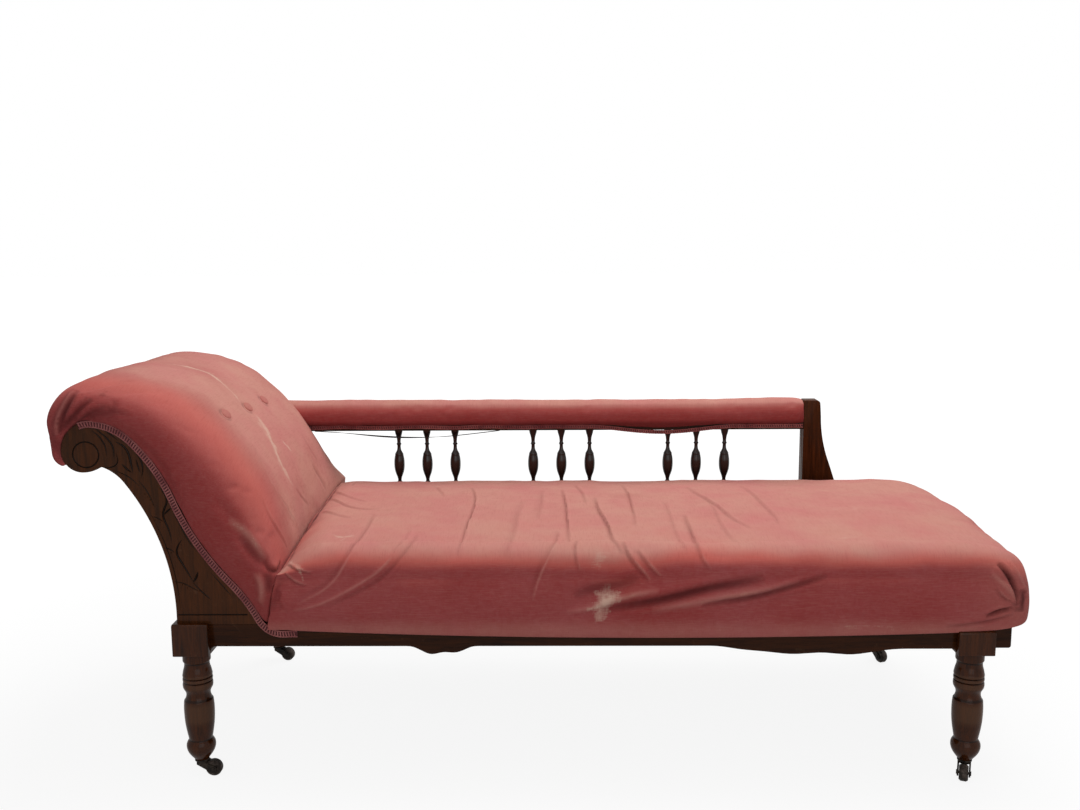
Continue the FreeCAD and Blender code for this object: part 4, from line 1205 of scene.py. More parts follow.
class CouchScrollSides(bpy.types.Operator):
    """The two scroll sides, the front one carved"""

    bl_idname = "couch.scroll_sides"
    bl_label = "Scroll sides"

    def execute(self, context):
        tones = look()
        wood = mahogany("mahogany_scroll", "Z", tones.wood_dark, tones.wood_red)
        front = eased("scroll_side_front", "head_panel_front", 1.8 * MM)
        self.carve(front)
        back = eased("scroll_side_back", "head_panel_back", 1.8 * MM)
        for obj, node, face in ((front, "head_panel_front", -1), (back, "head_panel_back", 1)):
            self.mark_recesses(obj, face)
            dress(obj, wood, replaces=[node])
        return {"FINISHED"}

    def carve(self, panel):
        """Cuts the carved lines into the face with round gouges."""
        broad = sizes().carving_width
        parts = []
        for pixels, width in carved_lines:
            places = [seen_on_plane(px, py, -frame_face) for px, py in pixels]
            line = smooth_line(places, max(8, 4 * len(places)))
            parts.append(self.gouge(line, broad * width * MM))
        parts += [self.gouge(line, 1.8 * MM) for line in self.border_lines()]
        for px, py in punched_dots:
            x, z = seen_on_plane(px, py, -frame_face)
            line = [(x - 1.2 * MM, z), (x, z), (x + 1.2 * MM, z)]
            parts.append(self.gouge(np.array(line), 1.9 * MM))
        verts, faces = gathered(parts)
        cutter = new_object("gouges", verts, faces)
        in_edit_mode(cutter, lambda: bpy.ops.mesh.normals_make_consistent(inside=False))
        add_modifier(panel, "BOOLEAN", operation="DIFFERENCE", object=cutter, solver="EXACT", use_self=True)
        bpy.data.objects.remove(cutter)
        smooth_by_angle(panel, wood_edge)

    def gouge(self, line, width):
        """A tapered tube, half in the wood, along a line of (x, z)."""
        share = np.linspace(0.0, 1.0, len(line)).clip(0.02, 0.98)
        radii = np.maximum(np.sin(math.pi * share) ** 0.5, 0.16) * width * 0.62
        return tube(at_depth(line, 0.15 * radii - frame_face), radii, 8)

    def border_lines(self):
        """Lines that follow both edges of the side below the scroll."""
        right = chain(border_corners[1:], -38, (16, 26, 18))
        sweep = chain([place(0, 20), place(-80, 261)], 90, (40,))
        found = []
        for line, inset, low, high in ((right, -19 * MM, 0.18, 0.80), (sweep, 8 * MM, 0.04, 0.80)):
            moved = moved_aside(line, inset)
            found.append(moved[int(low * len(moved)):int(high * len(moved))])
        return found

    def mark_recesses(self, obj, face):
        """Marks what lies below the side's face, for painted shade in the carving, and its rubbed rim."""
        points = of_vertices(obj.data)
        depth = frame_face - points[:, 1] * face
        set_attribute(obj, "recess", soft_step(0.2 * MM, 1.0 * MM, depth) * (depth < 4 * MM))
        set_attribute(obj, "edge", soft_step(1.2 * MM, 0.0, np.abs(depth - 0.4 * MM)) * 0.4)


# Turned outlines, as smooth runs that meet at sharp corners: (height, radius) in millimetres
leg_runs = [
    [(0, 11.5), (0.1, 12)],
    [(0.1, 12), (7, 17.6), (16, 23.4), (25, 26), (33, 25.2), (38.5, 22)],
    [(38.5, 22), (40, 20.9), (42.5, 21.3)],
    [(42.5, 21.3), (55, 23.6), (72, 26.0), (90, 27), (104, 26.9), (113, 26.2)],
    [(113, 26.2), (115.6, 25.6), (117.2, 24.2)],
    [(117.2, 24.2), (119, 23.4)],
    [(119, 23.4), (124, 21.8), (129, 21.6), (133.5, 22.9), (137, 24.8), (140, 26.3)],
    [(140, 26.3), (145, 27.0), (150, 26.3)],
    [(150, 26.3), (151.4, 24.8), (152.8, 26.3)],
    [(152.8, 26.3), (155.5, 26.8), (158.2, 26.3)],
    [(158.2, 26.3), (159.6, 24.8), (161, 26.3)],
    [(161, 26.3), (163.5, 26.6), (166.4, 26.0)],
    [(166.4, 26.0), (174, 24.4), (180, 22.7), (185, 22.4)],
    [(185, 22.4), (188, 22.6), (190, 24.4), (192, 24.8)],
    [(192, 24.8), (207.2, 24.8)],
    [(207.2, 24.8), (207.2, 1)],
]
leg_height = 207.0  # of these runs, from the castor to the leg's block
leg_grooves = ((38.6, 42.4), (115.8, 119.0), (150.4, 152.4), (158.6, 160.6), (186, 189.5))
leg_block_base = 0.240
# The spindle from its top down, in halves of its height
spindle_runs = [
    [(0.0, 9.0), (0.05, 8.9), (0.14, 7.6), (0.26, 5.1), (0.34, 4.3), (0.43, 4.0)],
    [(0.43, 4.0), (0.455, 5.2), (0.47, 5.6), (0.485, 5.2), (0.51, 4.0)],
    [(0.51, 4.0), (0.60, 4.1), (0.68, 5.2), (0.76, 8.2), (0.80, 9.6)],
    [(0.80, 9.6), (0.815, 9.4)],
    [(0.815, 9.4), (0.95, 11.2), (1.12, 11.9), (1.30, 11.0), (1.45, 8.2), (1.56, 5.2), (1.62, 4.2)],
    [(1.62, 4.2), (1.66, 4.0), (1.69, 4.4)],
    [(1.69, 4.4), (1.71, 5.8), (1.74, 6.2), (1.80, 6.0), (1.90, 7.8), (2.0, 9.0)],
]


def outline_of(runs, base, scale, per_run):
    """The runs as one outline of (height, radius), in metres."""
    found = []
    for run in runs:
        count = per_run if len(run) > 3 else (5 if len(run) == 3 else 2)
        line = smooth_line([(z * scale, r * MM) for z, r in run], count)
        found += [(base + z, r) for z, r in line[(1 if found else 0):]]
    return found


class CouchTurnedLegs(bpy.types.Operator):
    """Four turned legs with their square blocks"""

    bl_idname = "couch.turned_legs"
    bl_label = "Turned legs"

    def execute(self, context):
        tones = look()
        wood = mahogany("mahogany_leg", "Z", tones.wood_dark, tones.wood_red, gloss=0.22)
        for corner in corners:
            node = "leg_" + corner
            x, y, _ = middle_of("castor_plate_" + corner)
            block = self.block(node, leg_block_base)
            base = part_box(node)[0].z
            outline = outline_of(leg_runs, base, (leg_block_base - base) / leg_height, 12)
            shaft = turned(node + "_shaft", outline, x, y, sizes().lathe_steps)
            leg = joined("turned_" + node, [block, shaft])
            self.mark_groove_shade_and_wear(leg, x, y, base)
            dress(leg, wood, replaces=[node])
        return {"FINISHED"}

    def mark_groove_shade_and_wear(self, leg, x, y, base):
        """Marks painted shade in the turned grooves, and the rubbed crests of the leg's rings."""
        points = of_vertices(leg.data)
        reach = np.hypot(points[:, 0] - x, points[:, 1] - y)
        z = (points[:, 2] - base) / MM
        grooves = np.zeros(len(points))
        for low, high in leg_grooves:
            grooves = np.maximum(grooves, (z > low) & (z < high) & (reach < 26.2 * MM))
        set_attribute(leg, "recess", grooves * 0.8)
        crests = soft_step(25.8 * MM, 26.8 * MM, reach) * (points[:, 2] < leg_block_base)
        set_attribute(leg, "edge", crests * 0.9)

    def block(self, node, height):
        """The leg's square block alone, with eased edges."""
        obj = copy_of_node(node + "_block", node)
        with reworked(obj.data) as work:
            bmesh.ops.bisect_plane(work, geom=work.verts[:] + work.edges[:] + work.faces[:],
                                   plane_co=(0, 0, height + 0.2 * MM), plane_no=(0, 0, 1), clear_inner=True)
            bmesh.ops.holes_fill(work, edges=[e for e in work.edges if e.is_boundary])
            bmesh.ops.dissolve_limit(work, angle_limit=flat_angle, verts=work.verts, edges=work.edges)
            bmesh.ops.recalc_face_normals(work, faces=work.faces)
        return bevelled(obj, 1.8 * MM, 3, 30)


class CouchSpindles(bpy.types.Operator):
    """Nine turned spindles between the gallery's rails"""

    bl_idname = "couch.spindles"
    bl_label = "Gallery spindles"

    def execute(self, context):
        wood = mahogany("mahogany_spindle", "Z", (0.010, 0.006, 0.005), (0.030, 0.013, 0.009), gloss=0.5)
        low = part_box("gallery_lower_rail")[1].z
        half = (arm_base - low) / 2
        tenon = 5 * MM
        outline = [(low - 10 * MM, 0.3 * MM), (low - 10 * MM, tenon), (low, tenon)]
        outline += outline_of(spindle_runs, arm_base, -half, 11)[::-1]
        outline += [(arm_base, tenon), (arm_base + 10 * MM, tenon), (arm_base + 10 * MM, 0.3 * MM)]
        middle = middle_of("spindle_1")
        first = turned("turned_spindle_1", outline, middle.x, middle.y, 40)
        points = of_vertices(first.data)
        set_attribute(first, "recess", np.zeros(len(points)))
        reach = np.hypot(points[:, 0] - middle.x, points[:, 1] - middle.y)
        set_attribute(first, "edge", soft_step(10.6 * MM, 11.8 * MM, reach) * 0.15)
        pieces = [first]
        for i in range(2, 10):
            piece = linked("turned_spindle_%d" % i, first.data.copy())
            piece.data.name = piece.name
            piece.data.transform(Matrix.Translation((middle_of("spindle_%d" % i).x - middle.x, 0, 0)))
            pieces.append(piece)
        for i, piece in enumerate(pieces, start=1):
            dress(piece, wood, replaces=["spindle_%d" % i])
        return {"FINISHED"}


class CouchCastors(bpy.types.Operator):
    """Metal of the castors, springs, webbing and hidden cloths"""

    bl_idname = "couch.castors"
    bl_label = "Castors, springs and hidden cloths"

    def execute(self, context):
        iron = old_metal("castor_iron", (0.010, 0.008, 0.007), (0.060, 0.045, 0.035), 0.0, 0.42)
        wheel = old_metal("castor_wheel", (0.022, 0.016, 0.013), (0.13, 0.10, 0.085), 0.0, 0.45)
        wire = coppered_wire("spring_steel")
        jute = plain_cloth("jute_web", (0.36, 0.26, 0.15), (0.55, 0.42, 0.26), 700.0, 0.8)
        hessian = plain_cloth("hessian", (0.40, 0.30, 0.18), (0.60, 0.47, 0.30), 500.0, 0.9)
        finishes = {"seat_springs": (wire, "spring_steel"), "seat_webbing": (jute, "jute_web"),
                    "spring_hessian": (hessian, "hessian"), "head_hessian": (hessian, "hessian")}
        for corner in corners:
            for kind in ("plate", "horn", "axle"):
                finishes["castor_%s_%s" % (kind, corner)] = (iron, "castor_iron")
            finishes["castor_wheel_" + corner] = (wheel, "castor_wheel")
        for node, (material, slot) in finishes.items():
            refinish(node, material)
        return {"FINISHED"}


# Folds of the scroll's padding, by where they are seen: line, width and height in millimetres, kind, and
# painted shade with some dirt
head_folds = [
    ([(61, 436), (62.5, 417.5), (70, 400), (78, 390)], 6.0, 6.0, "valley", 0.8),
    ([(63, 434), (75, 415), (84, 405), (92, 399)], 5.0, 5.0, "valley", 0.7),
    ([(68, 430), (85, 418), (98, 410), (109, 407)], 5.0, 4.0, "valley", 0.6),
    ([(82, 423), (95, 416), (110, 413), (130, 416)], 5.0, 2.6, "valley", 0.35),
    ([(50, 440), (53, 422), (61, 405), (73, 389)], 7.0, 3.5, "valley", 0.35),
    ([(57, 436), (57, 420), (64, 403), (75, 390)], 5.0, 3.0, "ridge", 0.0),
    ([(240, 535), (255, 555), (267, 566)], 9.0, 5.0, "valley", 0.45),
    ([(228, 520), (243, 530), (258, 548), (266, 560)], 9.0, 3.0, "ridge", 0.0),
    ([(265, 560), (270, 570), (277, 571), (281, 561)], 4.5, 5.0, "valley", 0.7),
    ([(268, 573), (269, 582), (269, 594)], 8.0, 5.0, "valley", 0.5),
    ([(252, 447), (270, 480), (287, 510), (300, 528)], 6.0, 1.5, "ridge", 0.0),
    ([(277, 490), (288, 508), (297, 523)], 4.0, 1.6, "roll", 0.1),
    ([(295, 487), (303, 497), (309, 504)], 4.0, 1.6, "roll", 0.1),
    ([(262, 497), (272, 520), (284, 540), (288, 549)], 5.0, 1.8, "roll", 0.12),
    ([(312, 465), (320, 478), (326, 490)], 6.0, 2.0, "valley", 0.2),
    ([(256, 572), (262, 588), (260, 604)], 8.0, 4.0, "ridge", 0.0),
    ([(300, 430), (308, 445), (318, 462)], 5.0, 1.6, "roll", 0.1),
    ([(215, 500), (232, 520), (246, 540)], 10.0, 2.5, "valley", 0.12),
]
head_stains = [
    ("worn", [(150, 363), (170, 364), (200, 370), (220, 381), (235, 395)], 15.0, 0.5),
    ("worn", [(160, 363), (180, 365), (205, 372), (222, 383), (235, 396)], 5.0, 1.0),
    ("worn", [(258, 418), (268, 436), (278, 458), (288, 480), (294, 490)], 17.0, 0.5),
    ("worn", [(281, 440), (287, 446), (291, 450)], 5.0, 0.8),
    ("worn", [(225, 385), (236, 396), (246, 408)], 5.0, 0.65),
    ("worn", [(255, 412), (265, 428), (274, 447), (281, 463), (290, 480), (296, 489)], 8.0, 0.95),
    ("worn", [(270, 440), (283, 466), (292, 484)], 4.0, 0.9),
    ("worn", [(284, 443), (288, 448), (292, 452)], 3.0, 0.9),
    ("worn", [(283, 500), (296, 522)], 3.0, 0.6),
    # Painted shade, with some grime, down in the scroll's gathers and along its side.
    ("grime", [(64, 437), (66, 450), (72, 462)], 7.0, 0.5),
    ("grime", [(60, 432), (70, 420), (80, 416)], 11.0, 0.65),
    ("grime", [(76, 424), (95, 414), (120, 416)], 15.0, 0.5),
    ("grime", [(52, 425), (56, 445), (66, 462)], 10.0, 0.45),
    ("grime", [(120, 422), (150, 448), (175, 490), (195, 530)], 11.0, 0.28),
]
button_pixels = [(226, 414), (248, 407), (264, 400)]
# A button from its back to its top: height in millimetres, share of its radius
button_profile = [(-3.2, 0.4), (-3.0, 0.82), (-1.6, 0.96), (0.0, 1.0), (1.4, 0.96), (2.4, 0.80), (2.9, 0.50),
                  (3.1, 0.18), (3.1, 0.01)]


gallery_room = 0.6 * MM  # between the scroll's padding and the gallery that runs into it


class CouchHeadPad(bpy.types.Operator):
    """The scroll's padding, its gathers, its buttons and its wear"""

    bl_idname = "couch.head_pad"
    bl_label = "Scroll padding"

    def execute(self, context):
        rings, shows = padding_rings()
        pad = closed_sleeve("velvet_scroll_pad", list(rings))
        rows, columns = rings.shape[:2]
        along = np.repeat(np.linspace(0, 1, rows), columns)
        across = np.tile(shows, rows)
        ys = rings[:, :, 1].ravel()
        free = across * soft_step(0.0, 0.12, along) * soft_step(1.0, 0.9, along)
        free *= soft_step(0.318, 0.290, np.abs(ys)) * 0.75 + 0.25 * (np.abs(ys) < 0.312)
        stuffed(pad, np.clip(free, 0, 1), 2.5, 0.003, 5 * MM)
        add_modifier(pad, "SUBSURF", levels=1, render_levels=1)
        cover = Cover(pad)
        self.fold_and_wear(cover)
        cover.settle(np.ones(len(cover.points)))
        self.make_room(pad)
        smooth_by_angle(pad, cloth_edge)
        cloth = velvet("velvet_scroll")
        dress(pad, cloth, replaces=["head_pad"])
        self.buttons(cover, cloth)
        self.covered_back()
        return {"FINISHED"}

    def fold_and_wear(self, cover):
        """Pales the cover where it faces up or towards the foot, partly sun fading and partly painted light,
        paints a band of red light on its front roll and shade along its border, then lays its unevenness,
        folds and stains.
        """
        points, normals = cover.points, cover.normals
        up = normals[:, 2]
        front = -normals[:, 1]
        inner = soft_step(-0.275, -0.120, points[:, 1])
        # Paler where it faces up or towards the foot: partly sun fading, partly painted light on the faces
        # turned to the light.
        cover.layers["faded"] = soft_step(0.20, 0.95, 0.72 * up + 0.95 * np.maximum(normals[:, 0], 0))
        cover.layers["faded"] *= (0.12 + 0.88 * inner) * (1 + 0.5 * cover.cloudy(7.0, 3))
        # A painted band of brighter red light along the front roll, with some real rubbing.
        rolled = np.exp(-((points[:, 1] + 0.245) / 0.055) ** 2)
        cover.layers["rubbed"] = np.clip(rolled * 0.9, 0, 1) * soft_step(0.0, 0.5, up)
        deep = soft_step(0.5, 0.95, front)
        cover.layers["faded"] *= 1 - deep
        # Painted shade along the border, where the padding meets the wood.
        border = soft_step(0.03, 0.0, np.abs(points[:, 1] + 0.306)) * soft_step(0.9, 0.2, up)
        cover.layers["grime"] = 0.12 * border
        cover.unevenness(7.0, 2.2 * MM, inner, 1.0)
        cover.unevenness(26.0, 1.2 * MM, np.ones(len(points)), 2.0)
        cover.wear(head_folds, head_stains)
        for pixel in button_pixels:
            centre = seen_on(cover.tree, *pixel)
            cover.dimple(centre, 19 * MM, 5.0 * MM)

    def make_room(self, pad):
        """Cuts room for the arm's roll and rails where they run into the padding's back corner."""
        ring = np.array([(0, y, z) for y, z in arm_outline(gallery_room)])
        rings = [ring + [frame_head - 60 * MM, 0, 0], ring + [-0.36, 0, 0]]
        low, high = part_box("gallery_lower_rail")
        bpy.ops.mesh.primitive_cube_add(size=1)
        block = bpy.context.object
        middle = middle_of("gallery_lower_rail")
        size = high - low + Vector((0, 2 * gallery_room, 2 * gallery_room))
        block.data.transform(Matrix.Translation((-0.5, middle.y, middle.z)) @
                             Matrix.Diagonal((0.5, size.y, size.z, 1)))
        for cutter in (closed_sleeve("arm_room", rings), block):
            add_modifier(pad, "BOOLEAN", operation="DIFFERENCE", object=cutter, solver="EXACT")
            bpy.data.objects.remove(cutter)

    def buttons(self, cover, cloth):
        """Covered buttons: low domes with a drawn-in rim."""
        radius = sizes().button_radius
        tree = tree_of(cover.obj.data)
        pieces = []
        for i, pixel in enumerate(button_pixels, start=1):
            centre, normal, _, _ = tree.ray_cast(Vector(eye), sight(*pixel))
            outline = smooth_line([(z * MM, r * radius) for z, r in button_profile], 18)
            button = turned("covered_button_%d" % i, outline, 0, 0, 32)
            turn = normal.to_track_quat("Z", "Y").to_matrix().to_4x4()
            button.data.transform(Matrix.Translation(centre) @ turn)
            heights = of_vertices(button.data) @ np.array(turn.inverted().to_3x3())[2]
            heights -= heights.max()
            # The buttons take fixed shares of the pale top and of the red of the rolls, both partly painted
            # light.
            for name, value in (("faded", 0.6), ("rubbed", 0.2), ("worn", 0.0)):
                set_attribute(button, name, np.full(len(heights), value))
            # Painted shade round the button's lower rim, where it sinks into its dimple.
            set_attribute(button, "grime", 0.6 * soft_step(-2.2 * MM, -4.4 * MM, heights))
            pieces.append(button)
        whole = joined("covered_buttons", pieces)
        smooth_by_angle(whole, cloth_edge)
        dress(whole, cloth, replaces=["head_buttons"])

    def covered_back(self):
        """The cloth-covered board that closes the back of the scroll, a little full in the middle."""
        line = chain([place(0, 2), place(0, 20), place(-80, 261)], 90, (6, 40))
        inward = moved_aside(line, 1.0) - line
        reach = panel_inside - rest_gap
        ys = np.linspace(-reach, reach, 60)
        rings = []
        for i, (p, n) in enumerate(zip(line, inward)):
            full = (math.sin(math.pi * i / (len(line) - 1)) ** 0.35) * 4 * MM
            outer = p + n * (4.5 * MM - full * (1 - (np.abs(ys) / reach) ** 6))[:, None]
            inner = np.repeat([p + n * 6 * MM], len(ys), axis=0)
            rings.append(np.vstack([np.insert(outer, 1, ys, axis=1), np.insert(inner, 1, ys[::-1], axis=1)]))
        board = closed_sleeve("covered_back", rings)
        add_modifier(board, "SUBSURF", levels=1, render_levels=1)
        cover = Cover(board)
        cover.layers["faded"] = np.full(len(cover.points), 0.12)
        cover.unevenness(12.0, 1.2 * MM, np.ones(len(cover.points)), 5.0)
        cover.settle(soft_step(reach, reach - 0.03, np.abs(cover.points[:, 1])))
        smooth_by_angle(board, 50)
        dress(board, velvet("velvet_back"), replaces=["head_outside_back"])


# Folds of the seat's cover, by where they are seen
seat_folds = [
    ([(412, 528), (400, 547), (385, 565), (370, 577), (352, 588), (322, 603), (292, 611)], 5.0, 3.2,
     "ridge", 0.0),
    ([(416, 535), (404, 553), (389, 571), (372, 584), (352, 595), (325, 608)], 5.0, 2.4, "valley", 0.25),
    ([(375, 513), (370, 525), (360, 540), (345, 560), (332, 580), (320, 590), (300, 600)], 6.0, 2.2,
     "roll", 0.2),
    ([(472, 487), (475.5, 498), (472, 514), (466, 528), (461, 543), (458, 556)], 4.0, 3.2, "roll", 0.3),
    ([(435, 485), (440, 490), (445, 497)], 5.0, 2.0, "roll", 0.1),
    ([(525, 502), (519, 512), (516, 525), (510, 543), (506, 558)], 8.0, 2.0, "roll", 0.1),
    ([(558, 530), (552, 548), (543, 565), (535, 585), (531, 600)], 6.0, 2.6, "roll", 0.15),
    ([(562, 489), (566, 505), (568, 525), (570, 543)], 5.0, 3.6, "roll", 0.25),
    ([(575, 484), (582, 492), (586, 503)], 5.0, 2.6, "roll", 0.15),
    ([(595, 497), (602, 515), (610, 530), (617, 545), (624, 556)], 5.5, 4.0, "roll", 0.3),
    ([(622, 484), (630, 498), (634, 513), (636, 527)], 5.0, 3.0, "roll", 0.2),
    ([(578, 540), (576, 558), (579, 571)], 5.0, 2.6, "roll", 0.2),
    ([(543, 490), (541, 505), (538, 520)], 7.0, 2.0, "roll", 0.1),
    ([(622, 542), (632, 560), (642, 572), (650, 582)], 6.0, 3.2, "roll", 0.2),
    ([(637, 550), (652, 569), (661, 578)], 6.0, 2.6, "roll", 0.15),
    ([(685, 514), (691, 530), (698, 545), (703, 560), (711, 571)], 6.0, 3.4, "roll", 0.25),
    ([(687, 487), (700, 495), (712, 502), (725, 512), (740, 522), (753, 529)], 6.0, 2.8, "roll", 0.2),
    ([(740, 485), (755, 495), (770, 511), (777, 519), (778, 526)], 6.0, 2.4, "roll", 0.15),
    ([(710, 500), (720, 520), (730, 535), (741, 543)], 6.0, 1.8, "roll", 0.1),
    ([(665, 500), (672, 520), (681, 541), (688, 556)], 6.0, 1.8, "roll", 0.1),
    ([(573, 597), (595, 589), (617, 585), (640, 579)], 9.0, 5.0, "valley", 0.45),
    ([(566, 612), (592, 607), (610, 601), (635, 594), (660, 590)], 7.0, 5.0, "ridge", 0.0),
    ([(600, 611), (625, 606), (650, 602), (682, 595), (712, 588), (740, 583), (765, 578)], 7.0, 7.0,
     "valley", 0.75),
    ([(700, 606), (715, 603), (740, 599), (765, 594), (790, 587), (815, 580), (828, 576)], 6.5, 5.5,
     "valley", 0.6),
    ([(650, 610), (690, 603), (730, 596), (770, 589), (800, 581)], 9.0, 4.0, "ridge", 0.0),
    ([(800, 543), (830, 540), (860, 539), (890, 541)], 12.0, 2.0, "ridge", 0.0),
    ([(331, 500), (345, 504), (362, 508), (382, 506)], 5.0, 3.0, "roll", 0.2),
    ([(336, 493), (352, 497), (368, 500)], 5.0, 2.4, "roll", 0.15),
    ([(322, 512), (338, 514), (352, 517)], 6.0, 2.0, "roll", 0.15),
    ([(998, 563), (1008, 575), (1015, 590), (1018, 604)], 6.0, 9.0, "valley", 0.9),
    ([(991, 572), (1001, 582), (1012, 595), (1016, 603)], 8.0, 5.0, "ridge", 0.0),
    ([(996, 588), (1004, 597), (1012, 602)], 4.0, 3.0, "roll", 0.2),
    ([(985, 617), (1000, 611), (1013, 608)], 5.0, 6.0, "valley", 0.8),
    ([(945, 627), (975, 624), (1000, 619), (1014, 614)], 5.0, 3.0, "valley", 0.4),
    ([(1008, 560), (1018, 575), (1025, 592), (1027, 606)], 6.0, 5.0, "ridge", 0.0),
    ([(275, 578), (279, 590), (277, 604)], 6.0, 3.5, "valley", 0.35),
    ([(284, 572), (292, 580), (306, 586)], 4.0, 2.5, "roll", 0.2),
    ([(287, 563), (298, 570), (312, 574)], 3.5, 2.5, "roll", 0.2),
    ([(346, 481), (352, 478.5), (360, 480)], 6.0, 5.0, "ridge", 0.0),
    ([(352, 486), (357, 483), (364, 484)], 4.0, 2.5, "valley", 0.2),
]
seat_stains = [
    ("worn", [(592, 612), (600, 605), (612, 597), (622, 590)], 12.0, 0.95),
    ("worn", [(598, 626), (600, 612), (604, 596), (607, 580)], 11.0, 0.75),
    ("worn", [(585, 609), (597, 607), (611, 603)], 4.0, 1.0),
    ("worn", [(590, 570), (606, 556), (616, 545)], 16.0, 0.42),
    ("worn", [(560, 520), (585, 548), (605, 560)], 22.0, 0.25),
    ("worn", [(332, 533), (343, 537), (356, 536)], 6.0, 0.8),
    ("worn", [(338, 541), (346, 538)], 4.0, 0.7),
    ("worn", [(432, 485), (442, 487), (452, 488)], 10.0, 0.5),
    ("worn", [(820, 512), (850, 509), (885, 513)], 20.0, 0.35),
    ("worn", [(700, 520), (780, 530), (860, 525)], 45.0, 0.16),
    ("worn", [(840, 627), (870, 626), (905, 628)], 5.0, 0.5),
    ("worn", [(288, 560), (297, 566), (309, 573)], 3.0, 0.75),
    ("worn", [(294, 563), (300, 572), (303, 583)], 2.5, 0.7),
    ("worn", [(1000, 578), (1010, 590), (1014, 600)], 8.0, 0.35),
    # Painted shade, with some grime, in the crease, the seam and under the flap at the foot.
    ("grime", [(281, 570), (290, 557), (300, 541), (315, 520), (332, 497), (341, 485)], 3.5, 0.9),
    ("grime", [(272, 612), (276, 595), (281, 575)], 7.0, 0.35),
    ("grime", [(1020, 588), (1022, 600), (1021, 612)], 6.0, 0.8),
]


class CouchSeatPad(bpy.types.Operator):
    """The seat's padding: its rolled front and foot, its long folds and its wear"""

    bl_idname = "couch.seat_pad"
    bl_label = "Seat padding"

    def execute(self, context):
        rings, shows = seat_rings()
        pad = closed_sleeve("velvet_seat_pad", list(rings))
        rows, columns = rings.shape[:2]
        along = np.repeat(np.arange(rows), columns) / (rows - 1)
        heights = rings[:, :, 2].ravel()
        free = np.clip(shows.ravel(), 0, 1) * soft_step(0.0, 0.05, along) * soft_step(1.0, 0.97, along)
        free *= soft_step(rail_top + 0.0, rail_top + 0.05, heights)
        stuffed(pad, free, 2.0, 0.006, 7 * MM)
        add_modifier(pad, "SUBSURF", levels=1, render_levels=1)
        cover = Cover(pad)
        self.fold_and_wear(cover)
        shown = soft_step(rail_top - 0.012, rail_top + 0.01, cover.points[:, 2])
        x, y, z = cover.points.T
        inside = (np.abs(y) < 0.2450) & (z < 0.376) & (x < 0.75)  # the room for the springs
        cover.settle(shown * ~inside)
        smooth_by_angle(pad, cloth_edge)
        dress(pad, velvet("velvet_seat"), replaces=["seat_pad"])
        return {"FINISHED"}

    def fold_and_wear(self, cover):
        """Pales the cover where it faces up, partly sun fading and partly painted light, paints a band of
        red light over its front roll, then lays its unevenness, folds and stains.
        """
        points, normals = cover.points, cover.normals
        up = normals[:, 2]
        cloudy = 0.22 * cover.cloudy(5.0, 1) + 0.10 * cover.cloudy(18.0, 2)
        # Paler where it faces up: partly sun fading, partly painted light on the top.
        cover.layers["faded"] = soft_step(0.42, 0.96, up + cloudy)
        # A painted band of brighter red light on the front roll and the front of the top, with some real
        # rubbing.
        rolled = soft_step(0.14, 0.55, up + 0.8 * cloudy) * (points[:, 1] < -0.12)
        cover.layers["rubbed"] = np.clip(rolled, 0, 1)
        hem = soft_step(rail_top + 0.022, rail_top - 0.012, points[:, 2])
        cover.layers["faded"] = np.maximum(cover.layers["faded"], 0.35 * hem)
        foot = soft_step(0.72, 0.86, points[:, 0])
        cover.layers["faded"] = np.maximum(cover.layers["faded"], 0.25 * foot)
        cover.unevenness(5.0, 4.0 * MM, soft_step(0.3, 0.7, up), 3.0)
        cover.unevenness(14.0, 2.4 * MM, np.ones(len(points)), 4.0)
        cover.unevenness(34.0, 1.0 * MM, np.ones(len(points)), 8.0)
        cover.wear(seat_folds, seat_stains, lambda width: width * 0.72 if width < 7 else width)


slack_shares = (0.39, 0.13)  # of the arm's length, from its foot end


def arm_slack(x, head, foot):
    """How far the arm's loosened braid hangs down at x."""
    start, end = foot - slack_shares[0] * (foot - head), foot - slack_shares[1] * (foot - head)
    share = np.clip((x - start) / (end - start), 0, 1)
    return 13 * MM * np.sin(math.pi * share) ** 1.5


def arm_outline(grow):
    """The arm roll's outline across, wrapped over its rail: (y, z) points, grown a little if asked."""
    low = arm_rail_top - 9 * MM
    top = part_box("arm_pad")[1].z
    half = 31 * MM
    foot = 25 * MM
    waist = low + (top - low) * 0.42
    shoulder = low + (top - low) * 0.86
    pieces = [
        np.array([[arm_y - foot, low]]),
        arc_through((arm_y - foot, low), (arm_y - half, waist), (arm_y - half * 0.72, shoulder), 12),
        arc_through((arm_y - half * 0.72, shoulder), (arm_y, top), (arm_y + half * 0.72, shoulder), 14),
        arc_through((arm_y + half * 0.72, shoulder), (arm_y + half, waist), (arm_y + foot, low), 12),
    ]
    line = np.vstack(pieces)
    rail = 19 * MM + rest_gap
    if grow:
        centre = np.array([arm_y, (low + top) / 2])
        away = line - centre
        line = line + away / np.linalg.norm(away, axis=1)[:, None] * grow
        base = arm_base - grow
        return np.vstack([line, [(arm_y + foot, base), (arm_y - foot, base)]])
    ledge = arm_rail_top + rest_gap
    return np.vstack([line, [(arm_y + rail, low), (arm_y + rail, ledge), (arm_y, ledge),
                             (arm_y - rail, ledge), (arm_y - rail, low)]])


rail_points = 5  # of the outline, round the arm's rail
arm_stains = [
    ("worn", [(560, 401), (600, 400), (660, 400), (720, 401), (780, 402)], 9.0, 0.38),
    ("worn", [(330, 404), (400, 402), (470, 402), (540, 402)], 7.0, 0.25),
    ("worn", [(640, 429), (690, 431), (730, 430), (750, 427)], 2.5, 0.6),
]


